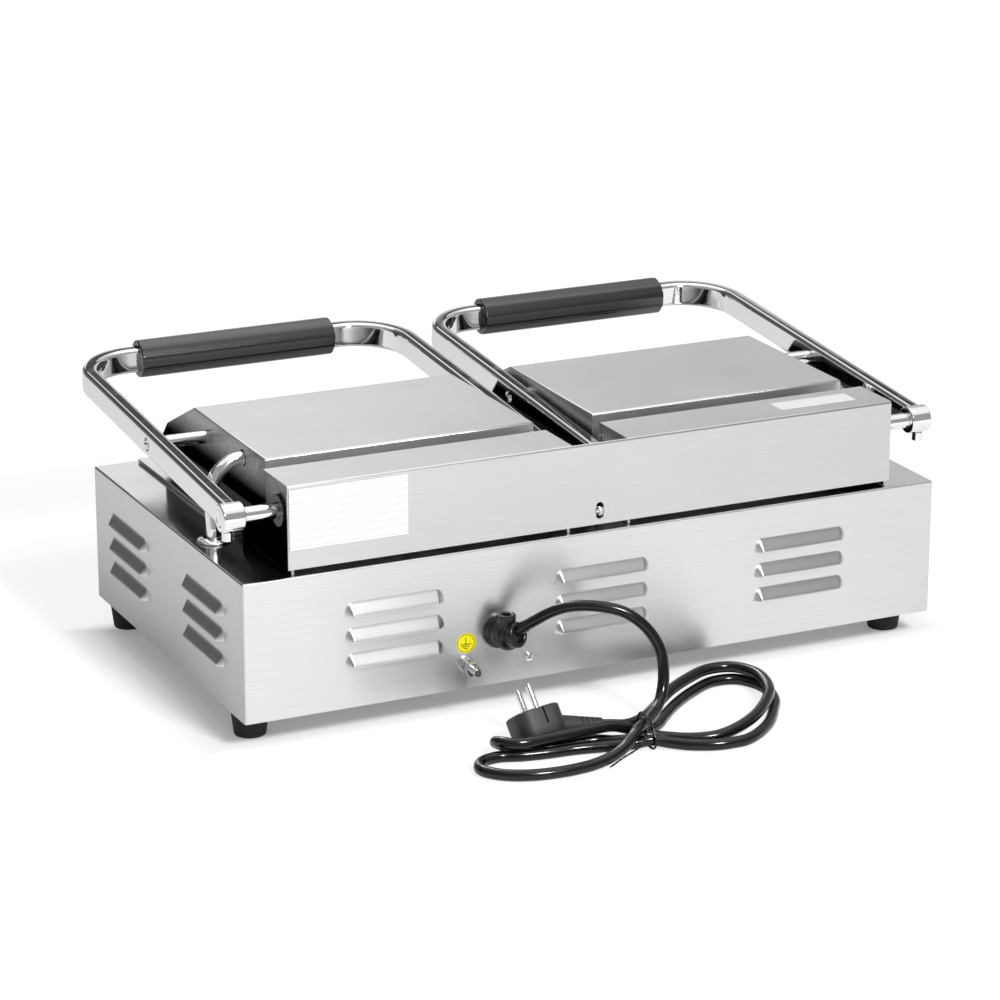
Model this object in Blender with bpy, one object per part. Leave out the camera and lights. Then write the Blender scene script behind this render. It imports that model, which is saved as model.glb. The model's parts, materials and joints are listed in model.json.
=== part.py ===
"""Double contact grill: a louvred stainless base with a ribbed lower plate, and two spring-hinged lids
that hang on bent handles. Metres, +Z up, the front faces -Y and +X is on the right of a cook at the front.
The origin lies on the floor under the middle of the object without its cord."""

import math

import bmesh
import bpy
from mathutils import Matrix, Vector
from mathutils.kdtree import KDTree

# Sheet metal and the clearances that separate neighbouring pieces
SHEET = 0.0012
BEND_RADIUS = 0.0016
GAP = 0.0003
OVERRUN = 0.004
MERGE = 0.000001

# Base box
BASE_WIDTH = 0.570
BASE_DEPTH = 0.312
BASE_HEIGHT = 0.106
FOOT_HEIGHT = 0.022
FOOT_TOP_RADIUS = 0.0145
FOOT_BOTTOM_RADIUS = 0.012
FOOT_EDGE_ROUND = 0.0015
FOOT_SIDE_INSET = 0.018
FOOT_FRONT_INSET = 0.0195
FOOT_REAR_INSET = 0.037

# Louvres, in rows of hoods whose lips face down
LOUVRE_LENGTH = 0.078
LOUVRE_HEIGHT = 0.010
LOUVRE_OUT = 0.0052
LOUVRE_END_RADIUS = 0.010
LOUVRE_SHEET = 0.0010
LOUVRE_PITCH = 0.0195
LOUVRE_ROWS = 3
LOUVRE_LIP_ABOVE_BASE = 0.0315
REAR_LOUVRE_SPACING = 0.168
SIDE_LOUVRE_SPACING = 0.158
HOOD_STATION_SHARES = (0.4, 0.8, 1.0)
HOOD_CROWN_SHARES = (0.62, 0.45)

# Lower grill plate
PLATE_SIDE_INSET = 0.0475
PLATE_FRONT_INSET = 0.025
PLATE_REAR_INSET = 0.057
PLATE_FLANGE = 0.0042
PLATE_BLOCK_DEPTH = 0.016
PLATE_RIM_WIDTH = 0.0028
PLATE_RIM_HEIGHT = 0.0022
TROUGH_WIDTH = 0.014
DRAIN_RADIUS = 0.006
RIB_PITCH = 0.0095
RIB_HEIGHT = 0.0032
RIB_TOP_SHARE = 0.42
RIB_FOOT_SHARE = 0.68
RIB_MARGIN = 0.001

# Raised edging in front of and beside the lower plate
APRON_SIDE = 0.0125
APRON_FRONT = 0.0195
APRON_THICKNESS = 0.0026
APRON_REAR_INSET = 0.104

# Lids
LID_INNER_X = 0.0245
LID_SIDE_INSET = 0.0455
LID_FRONT_INSET = 0.032
LID_REAR_INSET = 0.066
LID_TOP_ABOVE_BASE = 0.069
LID_SKIRT_ABOVE_BASE = 0.026
LID_BEND = 0.0014
LID_FLAT_FRONT_SHARE = 0.327
LID_KNEE_SHARE = (0.05, 0.356)
LID_NOSE_SHARE = (0.001, 0.086)
PLATE_CLOSED_GAP = 0.0008
UPPER_PLATE_SIDE_INSET = 0.0005
UPPER_PLATE_SETBACK = 0.003
UPPER_PLATE_STEP = 0.003
UPPER_PLATE_NECK = 0.0065

# Spring casing across the rear
CASING_SIDE_INSET = 0.037
CASING_INSET = 0.004
CASING_TOP_DEPTH = 0.047
CASING_TOP_ABOVE_BASE = 0.067
CASING_LIFT = 0.004
NOTCH_WIDTH = 0.045
CHEEK_RECESS = 0.0025
CHEEK_THICKNESS = 0.002
CHEEK_FOOT_DEPTH = 0.094
CHEEK_TOE_HEIGHT = 0.014
CHEEK_KNEE_SHARE = (0.78, 0.5)
CASING_SLOT_WIDTH = 0.0062
CASING_SLOT_HEIGHT = 0.013
CASING_SLOT_END_SHARE = 0.4975
CASING_SCREW_ABOVE_BASE = 0.0145
BRACKET_THICKNESS = 0.002

# Shafts, torsion springs and bushes
SHAFT_INSET = 0.025
SHAFT_ABOVE_BASE = 0.043
SHAFT_RADIUS = 0.006
SHAFT_START = 0.009
BUSH_RADIUS = 0.0095
BUSH_LENGTH = 0.010
BUSH_FLANGE_RADIUS = 0.012
BUSH_FLANGE = 0.0018
SPRING_START = 0.062
SPRING_PITCH = 0.0075
SPRING_TURNS = 7
SPRING_WIRE = 0.0022
SPRING_LEG = 0.013

# Handles
HANDLE_INNER_X = 0.015
HANDLE_SIDE_INSET = 0.002
ARM_LENGTH = 0.332
ARM_RISE_DEGREES = 4.46
BAR_WIDTH = 0.012
BAR_HEIGHT = 0.020
BAR_ROUND = 0.0034
BAR_CORNER = 0.044
HUB_RADIUS = 0.0105
HUB_LENGTH = 0.017
INNER_HUB_LENGTH = 0.0125
GRIP_LENGTH = 0.164
GRIP_RADIUS = 0.015
GRIP_GROOVE = 0.0007
GRIP_END_ROUND = 0.0012
GRIP_GROOVES = 10
SET_SCREW_RADIUS = 0.0026
SET_SCREW_HEAD = 0.004
SET_SCREW_HEAD_LENGTH = 0.0065
SET_SCREW_OFFSET = 0.0025

# Cross rods that carry the lids between the arms
ROD_FROM_SHAFT = 0.1541
ROD_RADIUS = 0.005
ROD_RECESS = 0.003

# Curved cable tubes from the base top into the lids
CONDUIT_RADIUS = 0.0055
CONDUIT_SIDE_INSET = 0.018
CONDUIT_REAR_INSET = 0.1005
CONDUIT_BEND = 0.027
CONDUIT_ABOVE_BASE = 0.0575
CONDUIT_LEAN = 0.0095
CONDUIT_TAIL = 0.008
CONDUIT_ENTRY = 0.003
CONDUIT_FLANGE_RADIUS = 0.0125
CONDUIT_FLANGE = 0.0032
CONDUIT_HOLE_CLEARANCE = 0.0008

# Grease drawer
DRAWER_WIDTH = 0.176
DRAWER_DEPTH = 0.185
DRAWER_HEIGHT = 0.030
DRAWER_LIFT = 0.006
DRAWER_FRONT_MARGIN = 0.010
DRAWER_FRONT_DROP = 0.003
DRAWER_FRONT_RISE = 0.008
DRAWER_PULL = 0.015
DRAWER_PULL_WIDTH = 0.090
DRAWER_PULL_HEM = 0.008
RAIL_X = 0.072
RAIL_WIDTH = 0.004

# Controls on the front face
CONTROL_ABOVE_BASE = 0.066
KNOB_SIDE_INSET = 0.063
KNOB_RADIUS = 0.020
KNOB_SKIRT = 0.004
KNOB_BODY_RADIUS_SHARE = 0.82
KNOB_DEPTH = 0.019
KNOB_STANDOFF = 0.0008
KNOB_RIDGE_WIDTH = 0.007
KNOB_RIDGE_RISE = 0.003
SPINDLE_RADIUS = 0.003
SPINDLE_SHARE = 0.6
THERMOSTAT_SIZE = 0.034
THERMOSTAT_DEPTH = 0.024
SWITCH_SIDE_INSET = 0.120
SWITCH_WIDTH = 0.022
SWITCH_HEIGHT = 0.030
SWITCH_BEZEL = 0.0022
SWITCH_BEZEL_WIDTH = 0.0024
SWITCH_BODY_DEPTH = 0.022
ROCKER_CLEARANCE = 0.0004
ROCKER_DISH_DEGREES = 10.0
ROCKER_PROUD = 0.0026
ROCKER_BACK = 0.0055
ROCKER_PIN_RADIUS = 0.0015
LAMP_SIDE_INSET = 0.155
LAMP_RADIUS = 0.0065
LAMP_RIM = 0.0015
LAMP_DOME = 0.003
LAMP_DOME_SHARES = (0.8, 0.7)
LAMP_CROWN_SHARE = 0.3
LAMP_BODY = 0.016

# Heating elements
ELEMENT_RADIUS = 0.004
ELEMENT_MARGIN = 0.022
ELEMENT_BEND = 0.016
ELEMENT_RUNS = 4

# Terminal block on the floor of the base
TERMINAL_SIZE = (0.062, 0.020, 0.018)
TERMINAL_REAR_INSET = 0.050
TERMINAL_X = 0.070
TERMINAL_WAYS = 5
TERMINAL_WELL_RADIUS = 0.0028
TERMINAL_WELL_DEPTH = 0.008

# Rear fittings
GLAND_X = 0.084
GLAND_ABOVE_BASE = 0.0415
GLAND_FLANGE_RADIUS = 0.0135
GLAND_FLANGE = 0.004
GLAND_BODY_RADIUS = 0.0105
GLAND_OUT = 0.026
GLAND_NOSE_SHARES = (0.8, 0.45)
GLAND_SPIGOT_RADIUS = 0.008
GLAND_SPIGOT = 0.014
GLAND_OUTLET_RADIUS = 0.0068
GLAND_OUTLET_COLLAR = 0.0088
GLAND_OUTLET_LENGTH = 0.0165
GLAND_OUTLET_TURN_DEGREES = 55.0
GLAND_OUTLET_RISE_DEGREES = 33.0
GLAND_ELBOW_OUT = 0.0145
GLAND_BOSS_RADIUS = 0.0062
GLAND_BOSS_REACH = 0.0165
GLAND_BOSS_OUT = 0.013
GLAND_SOCKET_RADIUS = 0.0034
GLAND_SOCKET_DEPTH = 0.003
STUD_X = 0.1115
STUD_ABOVE_BASE = 0.019
STUD_RADIUS = 0.003
STUD_OUT = 0.022
STUD_IN = 0.006
STUD_NUT_ACROSS = 0.010
STUD_NUT = 0.0045
STUD_WASHER_RADIUS = 0.0064
STUD_WASHER = 0.0012
STUD_NUT_SPACING = 0.0085
PAN_HEAD_RADIUS = 0.0034
PAN_HEAD_HEIGHT = 0.0022
PAN_SHANK_RADIUS = 0.0019
PAN_SHANK = 0.008
PANEL_SCREW_X = 0.060
PANEL_SCREW_ABOVE_BASE = 0.017
RATING_WIDTH = 0.092
RATING_HEIGHT = 0.045
RATING_THICKNESS = 0.0006
RATING_SIDE_INSET = 0.001
RATING_TOP_INSET = 0.0015

# Mains cord, its tied hank and the plug on its end
CORD_RADIUS = 0.00425
CORD_SEAM = 0.00015
CORD_POINTS = 30
HANK_LOOPS = 4
HANK_LOOP_POINTS = 26
ROUTE_STEPS = 14
GAP_STEP = 0.001
NEIGHBOUR_TURNS = 6.0
TIE_WIRE = 0.0009
TIE_CLEARANCE = 0.0011
TIE_FRONT_Y = 0.2670
TIE_REAR_Y = 0.2877
TIE_TAIL = (
    (0.0180, 0.2806, 0.0211),
    (0.0205, 0.2874, 0.0207),
    (0.0260, 0.2954, 0.0182),
    (0.0333, 0.2985, 0.0090),
    (0.0472, 0.2990, 0.0025),
    (0.0617, 0.3085, 0.0018),
)
RELIEF_START_RADIUS = 0.0054
RELIEF_END_RADIUS = 0.0082
RELIEF_RIBS = 4
RELIEF_GROOVE = 0.0012
RELIEF_RIBBED_SHARE = 0.62
PLUG_HALF_LENGTH = 0.0185
PLUG_HALF_WIDTH = 0.0160
PLUG_CORNER = 0.0105
PLUG_DEPTH = 0.0200
PLUG_BACK_SLOPE = 0.0035
PLUG_EDGE = 0.0012
PLUG_BACK_SHARES = ((0.62, 1.0), (0.86, 0.95), (0.97, 0.86), (1.0, 0.74))
PLUG_NOTCH_WIDTH = 0.0052
PLUG_NOTCH_DEPTH = 0.0024
PLUG_NOTCH_LENGTH = 0.013
PLUG_CLIP_WIDTH = 0.0045
PLUG_CLIP_DEPTH = 0.0015
PIN_RADIUS = 0.0024
PIN_LENGTH = 0.019
PIN_SPACING = 0.019
PIN_SEAT = 0.006
PIN_ROUND = 0.0011

# The cord's route as it lies, point by point, from the gland over to the tie
CORD_ROUTE = (
    (0.0575, 0.2029, 0.0835),
    (0.0460, 0.2094, 0.0880),
    (0.0285, 0.2184, 0.0885),
    (0.0095, 0.2274, 0.0835),
    (-0.0055, 0.2344, 0.0705),
    (-0.0135, 0.2399, 0.0540),
    (-0.0135, 0.2449, 0.0370),
    (-0.0080, 0.2514, 0.0235),
    (0.0010, 0.2604, 0.0178),
)
# Where the cord crosses the tied bundle, and the way it points there
TIE_POINT = (0.0180, 0.2764, 0.0163)
TIE_HEADING = (0.755, 0.656, 0.0)

# The route of the hank after the tie: front fold, outer loop, upper fold and inner loop, back to the plug
HANK_ROUTE = (
    (0.0330, 0.2899, 0.0155),
    (0.0450, 0.2974, 0.0100),
    (0.0590, 0.3024, 0.0062),
    (0.0750, 0.3059, 0.0044),
    (0.0970, 0.3079, 0.0043),
    (0.1220, 0.3044, 0.0043),
    (0.1410, 0.2944, 0.0043),
    (0.1500, 0.2799, 0.0043),
    (0.1440, 0.2674, 0.0043),
    (0.1290, 0.2634, 0.0043),
    (0.1120, 0.2684, 0.0043),
    (0.0940, 0.2716, 0.0043),
    (0.0720, 0.2736, 0.0043),
    (0.0500, 0.2794, 0.0048),
    (0.0320, 0.2854, 0.0058),
    (0.0180, 0.2869, 0.0069),
    (0.0060, 0.2929, 0.0050),
    (-0.0060, 0.3014, 0.0043),
    (-0.0240, 0.3094, 0.0043),
    (-0.0470, 0.3099, 0.0043),
    (-0.0750, 0.2909, 0.0043),
    (-0.0960, 0.2634, 0.0043),
    (-0.1050, 0.2484, 0.0043),
    (-0.1100, 0.2314, 0.0043),
    (-0.1090, 0.2134, 0.0043),
    (-0.1000, 0.1984, 0.0043),
    (-0.0820, 0.1954, 0.0043),
    (-0.0560, 0.2089, 0.0043),
    (-0.0330, 0.2264, 0.0043),
    (-0.0155, 0.2434, 0.0043),
    (-0.0040, 0.2554, 0.0044),
    (0.0050, 0.2619, 0.0054),
    (0.0180, 0.2674, 0.0070),
    (0.0290, 0.2662, 0.0108),
    (0.0400, 0.2656, 0.0138),
    (0.0700, 0.2674, 0.0140),
    (0.0950, 0.2684, 0.0139),
    (0.1100, 0.2689, 0.0138),
    (0.1190, 0.2664, 0.0138),
    (0.1250, 0.2600, 0.0138),
    (0.1257, 0.2520, 0.0112),
    (0.1200, 0.2460, 0.0066),
    (0.1135, 0.2500, 0.0044),
    (0.1045, 0.2580, 0.0043),
    (0.0860, 0.2622, 0.0043),
    (0.0670, 0.2626, 0.0043),
    (0.0500, 0.2649, 0.0043),
    (0.0410, 0.2709, 0.0043),
    (0.0300, 0.2762, 0.0055),
    (0.0180, 0.2771, 0.0069),
    (0.0040, 0.2819, 0.0050),
    (-0.0120, 0.2904, 0.0043),
    (-0.0330, 0.2959, 0.0054),
    (-0.0620, 0.2879, 0.0095),
    (-0.0870, 0.2674, 0.0132),
    (-0.1020, 0.2444, 0.0138),
    (-0.1075, 0.2144, 0.0138),
    (-0.0980, 0.1964, 0.0138),
    (-0.0790, 0.1929, 0.0138),
    (-0.0560, 0.2034, 0.0137),
    (-0.0320, 0.2184, 0.0122),
    (-0.0120, 0.2329, 0.0076),
    (-0.0005, 0.2399, 0.0049),
    (0.0110, 0.2449, 0.0043),
    (0.0195, 0.2462, 0.0044),
)
RELIEF_POINT = (0.0370, 0.2439, 0.0066)
RELIEF_HEADING = (0.985, -0.056, 0.150)

# Where the plug's face lies, the way its pins point and the line through both pins
PLUG_FACE = (0.0890, 0.2349, 0.0224)
PLUG_AXIS = (0.126, -0.541, 0.832)
PLUG_PIN_LINE = (-0.026, 0.787, 0.617)

# Derived places
BASE_BOTTOM = FOOT_HEIGHT
BASE_TOP = FOOT_HEIGHT + BASE_HEIGHT
ARM_RISE = math.radians(ARM_RISE_DEGREES)
FRONT_REACH = ARM_LENGTH * math.cos(ARM_RISE) + GRIP_RADIUS - (BASE_DEPTH / 2 - SHAFT_INSET)
OUTLET_TURN = math.radians(GLAND_OUTLET_TURN_DEGREES)
OUTLET_RISE = math.radians(GLAND_OUTLET_RISE_DEGREES)
OUTLET_LEAN = math.cos(OUTLET_TURN) * math.cos(OUTLET_RISE)
OUTLET_REACH = (GLAND_OUTLET_LENGTH - GLAND_FLANGE / 2) * OUTLET_LEAN
OUTLET_REACH += GLAND_OUTLET_COLLAR * math.sqrt(1 - OUTLET_LEAN * OUTLET_LEAN)
REAR_REACH = BASE_DEPTH / 2 + GLAND_ELBOW_OUT + OUTLET_REACH
BASE_Y = (FRONT_REACH - REAR_REACH) / 2
FRONT_Y = BASE_Y - BASE_DEPTH / 2
REAR_Y = BASE_Y + BASE_DEPTH / 2
SHAFT_Y = REAR_Y - SHAFT_INSET
SHAFT_Z = BASE_TOP + SHAFT_ABOVE_BASE
ROD_Y = SHAFT_Y - ROD_FROM_SHAFT * math.cos(ARM_RISE)
ROD_Z = SHAFT_Z + ROD_FROM_SHAFT * math.sin(ARM_RISE)
PLATE_WIDTH = BASE_WIDTH - PLATE_SIDE_INSET * 2
PLATE_REAR_Y = REAR_Y - PLATE_REAR_INSET
PLATE_FRONT_Y = FRONT_Y + PLATE_FRONT_INSET
PLATE_SEAT_Z = BASE_TOP + GAP
RIB_ROOT_Z = PLATE_SEAT_Z + PLATE_FLANGE
RIB_TIP_Z = RIB_ROOT_Z + RIB_HEIGHT
LID_WIDTH = BASE_WIDTH / 2 - LID_SIDE_INSET - LID_INNER_X
LID_CENTRE_X = LID_INNER_X + LID_WIDTH / 2
LID_REAR_Y = REAR_Y - LID_REAR_INSET
LID_FRONT_Y = FRONT_Y + LID_FRONT_INSET
LID_DEPTH = LID_REAR_Y - LID_FRONT_Y
LID_TOP_Z = BASE_TOP + LID_TOP_ABOVE_BASE
LID_SKIRT_Z = BASE_TOP + LID_SKIRT_ABOVE_BASE
HANDLE_SPREAD = BASE_WIDTH / 2 - HANDLE_SIDE_INSET - HANDLE_INNER_X
HANDLE_CENTRE_X = HANDLE_INNER_X + HANDLE_SPREAD / 2
CASING_LENGTH = BASE_WIDTH - CASING_SIDE_INSET * 2
CASING_REAR_Y = REAR_Y - CASING_INSET
CASING_FRONT_Y = CASING_REAR_Y - CASING_TOP_DEPTH
CASING_TOP_Z = BASE_TOP + CASING_TOP_ABOVE_BASE
CASING_BOTTOM_Z = BASE_TOP + CASING_LIFT
CHEEK_X = CASING_LENGTH / 2 - CHEEK_RECESS - CHEEK_THICKNESS
BRACKET_X = NOTCH_WIDTH / 2 + SHEET + GAP
CONDUIT_X = BASE_WIDTH / 2 - CONDUIT_SIDE_INSET
CONDUIT_Y = REAR_Y - CONDUIT_REAR_INSET
CONDUIT_Z = BASE_TOP + CONDUIT_ABOVE_BASE
KNOB_X = BASE_WIDTH / 2 - KNOB_SIDE_INSET
SWITCH_X = BASE_WIDTH / 2 - SWITCH_SIDE_INSET
LAMP_X = BASE_WIDTH / 2 - LAMP_SIDE_INSET
CONTROL_Z = BASE_BOTTOM + CONTROL_ABOVE_BASE
DRAWER_FLOOR_Z = BASE_BOTTOM + DRAWER_LIFT
GLAND_Z = BASE_BOTTOM + GLAND_ABOVE_BASE

SIDES = {"right": 1, "left": -1}

ROUND_STEPS = 16
SMALL_STEPS = 10
SHARP_ANGLE = math.radians(32)
ROUND_BEVEL_SHARE = 0.5
PARALLEL_SHARE = 0.999

# name: (colour, roughness, metallic)
FINISHES = {
    "brushed_steel": ((0.72, 0.73, 0.74), 0.32, 1.0),
    "steel_plate": ((0.60, 0.61, 0.62), 0.40, 1.0),
    "chrome": ((0.80, 0.81, 0.82), 0.08, 1.0),
    "cast_iron": ((0.035, 0.035, 0.037), 0.62, 0.2),
    "bakelite": ((0.018, 0.018, 0.019), 0.34, 0.0),
    "foot_rubber": ((0.012, 0.012, 0.012), 0.75, 0.0),
    "cable_rubber": ((0.020, 0.020, 0.022), 0.45, 0.0),
    "spring_steel": ((0.28, 0.29, 0.31), 0.35, 1.0),
    "element_steel": ((0.30, 0.27, 0.24), 0.50, 0.9),
    "thermoset": ((0.75, 0.72, 0.66), 0.60, 0.0),
    "switch_green": ((0.03, 0.42, 0.12), 0.30, 0.0),
    "lamp_orange": ((0.85, 0.32, 0.03), 0.20, 0.0),
    "blank_label": ((0.88, 0.88, 0.88), 0.55, 0.0),
}


def clear_scene():
    for obj in list(bpy.data.objects):
        bpy.data.objects.remove(obj, do_unlink=True)


def finish_material(name):
    material = bpy.data.materials.get(name) or bpy.data.materials.new(name)
    colour, roughness, metallic = FINISHES[name]
    material.use_nodes = True
    shader = material.node_tree.nodes["Principled BSDF"]
    shader.inputs["Base Color"].default_value = (*colour, 1.0)
    shader.inputs["Roughness"].default_value = roughness
    shader.inputs["Metallic"].default_value = metallic
    return material


def empty_at(name, place):
    """An axis marker that moving pieces are parented to."""
    marker = bpy.data.objects.new(name, None)
    marker.location = place
    bpy.context.scene.collection.objects.link(marker)
    return marker


def add_object(name, shape, finish, pivot=None):
    """A named piece from a bmesh in world places, with its origin on its pivot when it has one."""
    bmesh.ops.remove_doubles(shape, verts=shape.verts, dist=MERGE)
    bmesh.ops.recalc_face_normals(shape, faces=shape.faces)
    mesh = bpy.data.meshes.new(name)
    shape.to_mesh(mesh)
    shape.free()
    obj = bpy.data.objects.new(name, mesh)
    bpy.context.scene.collection.objects.link(obj)
    obj.data.materials.append(finish_material(finish))
    if pivot:
        mesh.transform(Matrix.Translation(-pivot.location))
        obj.parent = pivot
    return obj


def combine(obj, shape, operation):
    """Cuts the shape out of the object, or joins it to the object, and leaves a plain mesh."""
    tool = add_object(obj.name + "_tool", shape, "steel_plate")
    if obj.parent:
        tool.location = -obj.parent.location
        tool.parent = obj.parent
    modifier = obj.modifiers.new(operation.lower(), "BOOLEAN")
    modifier.operation = operation
    modifier.solver = "EXACT"
    modifier.object = tool
    bpy.context.view_layer.update()
    graph = bpy.context.evaluated_depsgraph_get()
    result = bpy.data.meshes.new_from_object(obj.evaluated_get(graph))
    obj.modifiers.clear()
    old = obj.data
    material = old.materials[0]
    obj.data = result
    result.materials.clear()
    result.materials.append(material)
    result.polygons.foreach_set("material_index", [0] * len(result.polygons))
    bpy.data.objects.remove(tool, do_unlink=True)
    bpy.data.meshes.remove(old)


def cut(obj, shape):
    combine(obj, shape, "DIFFERENCE")


def join(obj, shape):
    combine(obj, shape, "UNION")


def smooth_shading():
    """Rounds shade smooth and folds stay sharp on every piece."""
    for obj in bpy.data.objects:
        if obj.type == "MESH":
            obj.data.shade_smooth()
            obj.data.set_sharp_from_angle(angle=SHARP_ANGLE)


def box(low, high):
    shape = bmesh.new()
    low = Vector(low)
    high = Vector(high)
    fit = Matrix.Translation((low + high) / 2) @ Matrix.Diagonal((*(high - low), 1.0))
    bmesh.ops.create_cube(shape, size=1.0, matrix=fit)
    return shape


def merged(*shapes):
    """Several separate closed shapes in one bmesh, to be used as one tool."""
    together = bmesh.new()
    for shape in shapes:
        mesh = bpy.data.meshes.new("scratch")
        shape.to_mesh(mesh)
        shape.free()
        together.from_mesh(mesh)
        bpy.data.meshes.remove(mesh)
    return together


AXES = {
    "X": lambda a, b, along: Vector((along, a, b)),
    "Y": lambda a, b, along: Vector((a, along, b)),
    "Z": lambda a, b, along: Vector((a, b, along)),
}


def prism(outline, axis, low, high):
    """An outline of two coordinates drawn out along the third axis, from low to high."""
    shape = bmesh.new()
    place = AXES[axis]
    corners = [shape.verts.new(place(a, b, low)) for a, b in outline]
    face = shape.faces.new(corners)
    drawn = bmesh.ops.extrude_face_region(shape, geom=[face])
    moved = [item for item in drawn["geom"] if isinstance(item, bmesh.types.BMVert)]
    bmesh.ops.translate(shape, verts=moved, vec=place(0, 0, high) - place(0, 0, low))
    bmesh.ops.recalc_face_normals(shape, faces=shape.faces)
    return shape


def loft(loops):
    """A closed skin over loops of equally many points, capped at both ends."""
    shape = bmesh.new()
    rings = [[shape.verts.new(point) for point in loop] for loop in loops]
    count = len(rings[0])
    for first, second in zip(rings, rings[1:]):
        for i in range(count):
            j = (i + 1) % count
            shape.faces.new((first[i], first[j], second[j], second[i]))
    shape.faces.new(rings[0])
    shape.faces.new(list(reversed(rings[-1])))
    bmesh.ops.recalc_face_normals(shape, faces=shape.faces)
    return shape


def facing(direction, place):
    """A matrix that carries local +Z to a direction and the origin to a place."""
    turn = Vector(direction).to_track_quat("Z", "Y").to_matrix().to_4x4()
    return Matrix.Translation(Vector(place)) @ turn


def turned(profile, direction, place, steps=ROUND_STEPS):
    """A solid of revolution: (radius, height) pairs, closed on the axis at both ends."""
    loops = []
    matrix = facing(direction, place)
    for radius, height in profile:
        angles = [math.tau * i / steps for i in range(steps)]
        ring = [(radius * math.cos(a), radius * math.sin(a), height) for a in angles]
        loops.append([matrix @ Vector(place) for place in ring])
    return loft(loops)


def cylinder(radius, low, high, direction, place, steps=ROUND_STEPS):
    return turned(((radius, low), (radius, high)), direction, place, steps)


def rounded_rectangle(width, height, radius, steps):
    """Points round a rectangle centred on zero, with quarter circles at its corners."""
    points = []
    for quarter, (sx, sy) in enumerate(((1, 1), (-1, 1), (-1, -1), (1, -1))):
        centre = Vector((sx * (width / 2 - radius), sy * (height / 2 - radius)))
        for step in range(steps + 1):
            angle = math.pi / 2 * (quarter + step / steps)
            points.append(centre + radius * Vector((math.cos(angle), math.sin(angle))))
    return points


def bevel_edges(shape, radius, segments, wanted):
    chosen = [edge for edge in shape.edges if wanted(edge)]
    bmesh.ops.bevel(
        shape, geom=chosen, offset=radius, segments=segments, profile=ROUND_BEVEL_SHARE, affect="EDGES"
    )


def edge_lies(edge, axis):
    """True when an edge runs along the axis with this index."""
    run = edge.verts[1].co - edge.verts[0].co
    return abs(run[axis]) > run.length * PARALLEL_SHARE


def tube_object(name, points, radius, finish, resolution, pivot=None):
    """A curve along the points, thickened round and closed at both ends."""
    curve = bpy.data.curves.new(name, "CURVE")
    curve.dimensions = "3D"
    curve.bevel_depth = radius
    curve.bevel_resolution = resolution
    curve.use_fill_caps = True
    spline = curve.splines.new("POLY")
    spline.points.add(len(points) - 1)
    shift = pivot.location if pivot else Vector()
    for node, point in zip(spline.points, points):
        node.co = (*(Vector(point) - shift), 1.0)
    spline.use_smooth = True
    curve.materials.append(finish_material(finish))
    obj = bpy.data.objects.new(name, curve)
    bpy.context.scene.collection.objects.link(obj)
    if pivot:
        obj.parent = pivot
    return obj


def rounded_path(corners, radius, steps):
    """A line through corners whose bends are arcs of the given radius."""
    corners = [Vector(corner) for corner in corners]
    points = [corners[0]]
    for before, corner, after in zip(corners, corners[1:], corners[2:]):
        back = (before - corner).normalized()
        ahead = (after - corner).normalized()
        half = back.angle(ahead) / 2
        reach = radius / math.tan(half)
        centre = corner + (back + ahead).normalized() * (radius / math.sin(half))
        start = corner + back * reach - centre
        end = corner + ahead * reach - centre
        sweep = start.angle(end)
        for step in range(steps + 1):
            part = step / steps
            mix = start * math.sin((1 - part) * sweep) + end * math.sin(part * sweep)
            points.append(centre + mix / math.sin(sweep))
    points.append(corners[-1])
    return points


def hood(centre, along, out, lip_z):
    """One louvre hood: flush with the wall at its top, standing out at its lip, with quarter-round ends."""
    half = LOUVRE_LENGTH / 2
    run = half - LOUVRE_END_RADIUS
    stations = []
    for share in HOOD_STATION_SHARES:
        rest = math.sqrt(1 - share * share)
        stations.append((-run - LOUVRE_END_RADIUS * rest, share))
    stations += [(-offset, share) for offset, share in reversed(stations)]
    root = LOUVRE_SHEET / 2
    bulge_out, bulge_down = HOOD_CROWN_SHARES
    loops = []
    for offset, share in stations:
        out_now = LOUVRE_OUT * share
        rise = LOUVRE_HEIGHT * share
        section = (
            (-root, rise),
            (out_now * bulge_out, rise * (1 - bulge_down)),
            (out_now, 0),
            (out_now - LOUVRE_SHEET, 0),
            (out_now * bulge_out - LOUVRE_SHEET, rise * (1 - bulge_down) - root),
            (-root, rise - LOUVRE_SHEET * 2),
        )
        loops.append(
            [
                centre + Vector(along) * offset + Vector(out) * n + Vector((0, 0, lip_z + up))
                for n, up in section
            ]
        )
    return loft(loops)


def louvre_slot(centre, along, out, lip_z):
    """The opening in the wall behind one hood."""
    run = Vector(along) * (LOUVRE_LENGTH / 2 - LOUVRE_END_RADIUS)
    through = Vector(out) * OVERRUN
    inward = Vector(out) * (OVERRUN + SHEET)
    top = Vector((0, 0, lip_z + LOUVRE_HEIGHT - LOUVRE_SHEET * 3))
    bottom = Vector((0, 0, lip_z))
    corners = [centre + a - inward + b for a, b in ((-run, bottom), (run, bottom), (run, top), (-run, top))]
    return loft([corners, [corner + inward + through for corner in corners]])


def louvre_places():
    """(middle on the wall's outer face, direction along it, direction out, lip height) of every hood."""
    places = []
    for row in range(LOUVRE_ROWS):
        lip_z = BASE_BOTTOM + LOUVRE_LIP_ABOVE_BASE + row * LOUVRE_PITCH
        for group in (-1, 0, 1):
            middle = Vector((group * REAR_LOUVRE_SPACING, REAR_Y, 0))
            places.append((middle, (1, 0, 0), (0, 1, 0), lip_z))
        for side in SIDES.values():
            for group in (-1, 1):
                middle = Vector((side * BASE_WIDTH / 2, BASE_Y + group * SIDE_LOUVRE_SPACING / 2, 0))
                places.append((middle, (0, 1, 0), (side, 0, 0), lip_z))
    return places


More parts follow.
